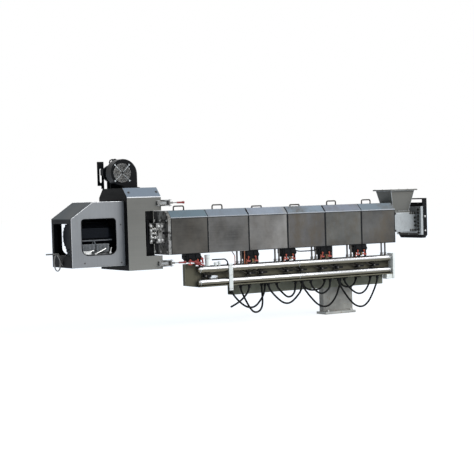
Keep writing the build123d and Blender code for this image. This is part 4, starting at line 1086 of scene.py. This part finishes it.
@piece("drain_levers", "red_grip")
def drain_levers(form):
    """Red levers of the drain cocks beside the first valve block."""
    for start, end in DRAINS:
        form.tube([(x, -0.222, z) for x, z in (start, end)], 0.0085)
        form.bar((start[0], -0.226, start[1]), BACK, 0.014, 0.040, 14, round_off=0.002)
    form.bar((-1.860, -0.208, 0.658), FRONT, 0.018, 0.012, round_off=0.002)


@piece("shutoff_nuts", "dark_steel")
def shutoff_trim(form):
    """Hexagon nuts and stems of the shut-off valves."""
    for x in SHUTOFF_SPOTS:
        form.bar((x, -0.2095, SHUTOFF_Z), FRONT, 0.009, 0.006, 6)
        form.bar((x, -0.1535, SHUTOFF_Z), FRONT, 0.024, 0.012, 20, round_off=0.002)


@piece("shutoff_tails", "riser_steel")
def shutoff_tails(form):
    """Slanting tail pipes between the shut-off valves and the upper pipe."""
    for x in SHUTOFF_SPOTS[1:]:
        route = [(x - 0.10, -0.178, 0.545), (x - 0.05, -0.182, 0.520), (x - 0.012, -0.182, SHUTOFF_Z)]
        form.tube(route, 0.007, ease=0.02)


@piece("white_socket", "white_plastic")
def white_socket(form):
    """Pale plug-in socket between the two pipes, with its short spigot."""
    form.box((-1.690, -0.205, 0.484), (-1.620, -0.160, 0.512), 0.004)
    form.bar((-1.620, -0.182, 0.498), RIGHT, 0.011, 0.022, round_off=0.002)


@piece("cream_stub", "cream_paint", node="pipe_fittings")
def cream_stub(form):
    """Painted stub with a collar, upright on the upper pipe."""
    profile = ((0, 0.028), (0.008, 0.028), (0.010, 0.024), (0.072, 0.024), (0.074, 0.0275),
               (0.106, 0.0275), (0.109, 0.024))
    form.lathe((-1.715, PIPE_Y, PIPE_CROWN), UP, profile, 32)


@piece("vent_rod", "black_plastic")
def vent_rod(form):
    """Thin vent that rises from the upper pipe and runs back to the stub."""
    route = [(VENT_X, PIPE_Y, PIPE_CROWN), (VENT_X, PIPE_Y, 0.642), (-1.505, PIPE_Y, 0.671),
             (-1.657, PIPE_Y, 0.671)]
    form.tube(route, 0.0068, 14, ease=0.014)
    form.bar((VENT_X, PIPE_Y, PIPE_CROWN), UP, 0.010, 0.010, 6)


@piece("pipe_gauges", "cream_paint")
def pipe_gauges(form):
    """Small pale fittings between the stub and the vent."""
    for x, tall in ((-1.62, 0.03), (-1.575, 0.038)):
        profile = ((0, 0.013), (tall * 0.5, 0.013), (tall * 0.55, 0.017), (tall, 0.017))
        form.lathe((x, PIPE_Y, 0.6125), UP, profile)


@piece("strap_bolts", "zinc", flat=True)
def strap_bolts(form):
    """Screws down the strap that holds the two pipes."""
    form.bolts([-1.475, -1.451], [-0.234], [0.372, 0.512, 0.608], FRONT, 0.006)


@piece("tray_rims", "olive_sheet")
def tray_rim(form):
    """Rubbed front lip of the tray and the folded edge along its top."""
    for y, z in TRAY_EDGES:
        form.tube([(tray_low.x + 0.002, y, z), (tray_high.x - 0.002, y, z)], 0.0025, 8)


# Blower: grille, inlet ring, motor and scroll details
BLOWER_X = -2.579
BLOWER_Z = 1.568
FACE_Y = -0.070
COWL_Y = 0.205
FLANGE_LEFT = BLOWER_X + 0.010
FLANGE_RIGHT = BLOWER_X + 0.186


@piece("blower_grille", "grille_wire", node="blower_guard")
def grille_rings(form):
    """Even wire rings over the inlet."""
    for k in range(9):
        form.ring((BLOWER_X, FACE_Y - 0.005, BLOWER_Z), FRONT, 0.012 + 0.0098 * k, 0.0014, 48, 6)


@piece("blower_grille_arms", "pale_steel")
def grille_arms(form):
    """Four arms of the grille, each with a screw at its tip."""
    hub = Vector((BLOWER_X, FACE_Y - 0.0065, BLOWER_Z))
    for turn in (45, 135, 225, 315):
        along = Vector((math.cos(math.radians(turn)), 0, math.sin(math.radians(turn))))
        tip = hub + along * 0.110
        form.tube([hub + along * 0.004, hub + along * 0.112], 0.0026, 8)
        form.bolt((tip.x, FACE_Y - 0.004, tip.z), FRONT, 0.0065, 0.005)


@piece("blower_inlet_ring", "black_gloss")
def inlet_ring(form):
    """Rolled rim of the inlet and the cap in the grille's middle."""
    form.ring((BLOWER_X, FACE_Y - 0.001, BLOWER_Z), FRONT, 0.094, 0.0035, 64, 10)
    form.bar((BLOWER_X, FACE_Y - 0.004, BLOWER_Z), FRONT, 0.011, 0.007, 24, round_off=0.002)


@piece("blower_motor_details", "black_paint")
def motor_details(form):
    """Terminal box, cable gland, cowl vents, cowl rim and foot screws of the blower motor."""
    form.box((BLOWER_X - 0.130, 0.085, BLOWER_Z - 0.02), (BLOWER_X - 0.076, 0.155, BLOWER_Z + 0.045),
            0.005)
    form.bar((BLOWER_X - 0.103, 0.12, BLOWER_Z - 0.02), DOWN, 0.010, 0.022, 6)
    for k in range(10):
        turn = math.radians(36 * k)
        vent = (BLOWER_X + 0.055 * math.cos(turn), COWL_Y, BLOWER_Z + 0.055 * math.sin(turn))
        form.bar(vent, BACK, 0.006, 0.0015, 10)
    form.ring((BLOWER_X, 0.161, BLOWER_Z), BACK, 0.0845, 0.0025, 40, 6)
    for side in SIDES:
        form.bolt((BLOWER_X + side * 0.045, 0.078, hood_high.z + 0.001), UP, 0.006)


@piece("blower_foot_flange", "black_paint", flat=True)
def scroll_flange(form):
    """Foot flanges of the blower on the hood roof, with their screws."""
    for near, far in ((-0.083, -0.0695), (0.0395, 0.053)):
        form.box((FLANGE_LEFT, near, hood_high.z - 0.001), (FLANGE_RIGHT, far, hood_high.z + 0.006),
                0.001)
    columns = [BLOWER_X + x for x in (0.03, 0.098, 0.166)]
    form.bolts(columns, [-0.0765, 0.0465], [hood_high.z + 0.005], UP, 0.005)


# Feed end and hopper
FEED_SIDE = 0.130
HOPPER_X = 0.8545
FUNNEL_BASE = (0.107, 0.095)
FUNNEL_TOP = (0.163, 0.135)


@piece("feed_bolts", "riser_steel", flat=True)
def feed_bolts(form):
    """Dark screws of the feed barrel's flanges and round the feed plate."""
    flange_spots = [(x, z) for x in (0.70, 0.745, 0.96, 0.99, 1.02) for z in (0.868, 1.058)]
    end_spots = [(1.021, z) for z in (0.92, 0.963, 1.006)]
    form.side_bolts(flange_spots + end_spots, FEED_SIDE, 0.0095)
    for side in SIDES:
        for k in range(8):
            form.bolt((plate_low.x, side * 0.172, 0.835 + k * 0.037), LEFT, 0.0125)
            form.bolt((plate_low.x, side * (0.015 + k * 0.02), 0.822), LEFT, 0.008)


@piece("hopper_bolts", "zinc", flat=True)
def hopper_bolts(form):
    """Screws along the hopper's lower flange and its rim."""
    for row, y, z in (((-0.107, -0.036, 0.036, 0.107), 0.1025, 1.085),
                      ((-0.17, -0.06, 0.06, 0.17), 0.148, hopper_high.z)):
        form.bolts([HOPPER_X + x for x in row], [-y, y], [z], UP, 0.006)


@piece("hopper_welds", "pale_steel")
def hopper_welds(form):
    """Weld beads down the corners of the funnel and round its two flanges."""
    base, top = corners(*FUNNEL_BASE), corners(*FUNNEL_TOP)
    for (x0, y0), (x1, y1) in list(zip(base, top))[:4]:
        form.tube([(HOPPER_X + x0, y0, 1.086), (HOPPER_X + x1, y1, 1.314)], 0.003, 8)
    for z, ring in ((1.0865, base), (1.3135, top)):
        form.tube([(HOPPER_X + x, y, z) for x, y in ring], 0.003, 8)


@piece("end_frame_bolts", "zinc", flat=True)
def frame_bolts(form):
    """Screws in the two edges of the end frame."""
    low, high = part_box("end_frame")
    form.side_bolts([((low.x + high.x) / 2, z) for z in (0.86, 1.02)], high.y, 0.008)


# Base
PEDESTAL_WELDS = ((0.0265, 0.040), (0.2855, 0.0385))
GLAND_BLOCKS = ((-1.315, -1.205), (-1.055, -0.850), (-0.650, -0.440), (-0.260, -0.185), (-0.115, 0.022),
                (0.165, 0.195), (0.336, 0.446))


@piece("base_weld_beads", "base_grey")
def base_welds(form):
    """Weld beads round the pedestal, above the foot and under the beam."""
    for z, half_y in PEDESTAL_WELDS:
        form.tube([(x, y, z) for x, y in corners(0.193, half_y)], 0.0035, 8)


@piece("foot_anchor_nuts", "zinc", flat=True)
def foot_bolts(form):
    """Nuts on the foot's four bolts, and the bolts' ends above them."""
    for x, y in product((-0.15, 0.15), (-0.065, 0.065)):
        form.bolt((x, y, 0.025), UP, 0.0125)
        form.bar((x, y, 0.033), UP, 0.0075, 0.012, round_off=0.001)


@piece("hose_gland_nuts", "black_plastic")
def hose_glands(form):
    """Nuts and sleeves round each hose end under the tray."""
    sleeve = ((0, 0.0108), (0.004, 0.0140), (0.022, 0.0145))
    for depth, _, far_end, route in HOSES.values():
        for x, z in (route[0], route[-1]) if far_end == "object" else route[:1]:
            form.bar((x, depth, z - 0.020), UP, 0.0175, 0.020, 6)
            form.lathe((x, depth, z - 0.042), UP, sleeve, 16)


@piece("hose_gland_blocks", "black_plastic", flat=True)
def gland_blocks(form):
    """Rubber blocks under the tray that hold the hose nuts in groups."""
    for left, right in GLAND_BLOCKS:
        form.box((left, -0.206, tray_low.z - 0.015), (right, -0.116, tray_low.z), 0.003)
        form.box((left + 0.008, -0.214, tray_low.z - 0.011),
                (right - 0.008, -0.204, tray_low.z - 0.003), 0.002)


@piece("support_bolts", "zinc", flat=True)
def support_bolts(form):
    """Screws on both faces of the two barrel supports, just above the beam."""
    spots = [(spot + x, 0.49) for spot in (-1.080, -0.130) for x in (-0.05, 0.05)]
    form.side_bolts(spots, 0.045, 0.009)


# Camera, floor and light
SKY_BANDS = (
    (0.00, (0.15, 0.15, 0.15)),
    (0.48, (0.20, 0.20, 0.20)),
    (0.55, (0.40, 0.40, 0.40)),
    (0.72, (0.76, 0.94, 1.16)),
    (1.00, (0.98, 1.34, 1.86)),
)
SKY_SIDE = 0.5
SKY_MEAN = 0.8
FLOOR_SIDE = 120
FLOOR_GLOW = 0.80


def camera():
    """The photograph's view, from the fitted place and angles."""
    ahead = Vector((
        math.sin(CAMERA_YAW) * math.cos(CAMERA_PITCH),
        math.cos(CAMERA_YAW) * math.cos(CAMERA_PITCH),
        math.sin(CAMERA_PITCH)))
    level = Vector((math.cos(CAMERA_YAW), -math.sin(CAMERA_YAW), 0))
    above = level.cross(ahead)
    right = math.cos(CAMERA_ROLL) * level + math.sin(CAMERA_ROLL) * above
    up = -math.sin(CAMERA_ROLL) * level + math.cos(CAMERA_ROLL) * above
    data = bpy.data.cameras.new("photo_view")
    data.lens = CAMERA_LENS
    data.sensor_width = SENSOR_WIDTH
    data.dof.use_dof = False
    made = bpy.data.objects.new("photo_view", data)
    bpy.context.scene.collection.objects.link(made)
    turn = Matrix((right, up, -ahead)).transposed().to_4x4()
    made.matrix_world = Matrix.Translation(CAMERA_PLACE) @ turn
    bpy.context.scene.camera = made


def floor():
    """A pale floor that reads as the white ground of the photograph."""
    bpy.ops.mesh.primitive_plane_add(size=FLOOR_SIDE, location=(0, 0, 0))
    made = bpy.context.object
    made.name = "studio_floor"
    s = Shader("studio_floor")
    glow = s.add("Emission", {"Color": (1, 1, 1), "Strength": FLOOR_GLOW})
    matt = s.add("BsdfDiffuse", {"Color": (0.30, 0.30, 0.30)})
    both = s.add("AddShader", {0: glow.outputs["Emission"], 1: matt.outputs["BSDF"]})
    plain = s.add("BsdfDiffuse", {"Color": (0.42, 0.41, 0.39)})
    s.plug(s.output.inputs["Surface"], s.by_ray(plain.outputs["BSDF"], both.outputs["Shader"]))
    made.data.materials.append(LOOKS["studio_floor"])


def sky():
    """A soft sky that is bluer overhead and brighter to the feed end, and plain white to the camera."""
    world = bpy.data.worlds.new("studio_sky")
    bpy.context.scene.world = world
    world.use_nodes = True
    s = Nodes(world.node_tree)
    place = s.add("TexCoord").outputs["Generated"]
    ramp = s.add("ValToRGB", {"Fac": s.math("MULTIPLY_ADD", s.part(place, "Z"), 0.5, 0.5)})
    bands = ramp.color_ramp.elements
    while len(bands) < len(SKY_BANDS):
        bands.new(0.5)
    for band, (spot, color) in zip(bands, SKY_BANDS):
        band.position = spot
        band.color = (*color, 1)
    soft = s.add("Background", {
        "Color": ramp.outputs["Color"],
        "Strength": s.math("MULTIPLY_ADD", s.part(place, "X"), SKY_SIDE, SKY_MEAN)})
    white = s.add("Background", {"Color": (1, 1, 1)})
    s.add("OutputWorld", {"Surface": s.by_ray(soft.outputs["Background"], white.outputs["Background"])})


def softbox(name, place, target, width, height, power):
    """A broad lamp that faces a target."""
    data = bpy.data.lights.new(name, "AREA")
    data.shape = "RECTANGLE"
    data.size = width
    data.size_y = height
    data.energy = power
    made = bpy.data.objects.new(name, data)
    bpy.context.scene.collection.objects.link(made)
    made.location = place
    made.rotation_euler = (Vector(target) - Vector(place)).to_track_quat("-Z", "Y").to_euler()


def render_setup():
    scene = bpy.context.scene
    scene.render.engine = "CYCLES"
    scene.render.resolution_x = PICTURE_SIDE
    scene.render.resolution_y = PICTURE_SIDE
    scene.view_settings.view_transform = "Standard"
    scene.view_settings.look = "None"
    scene.cycles.use_denoising = True


camera()
floor()
sky()
softbox("front_softbox", (1.5, -7.0, 5.5), (-1.0, 0, 0.9), 7.0, 3.0, 400)
softbox("right_softbox", (6.5, -2.0, 3.5), (0.0, 0, 0.9), 3.0, 3.0, 150)
render_setup()
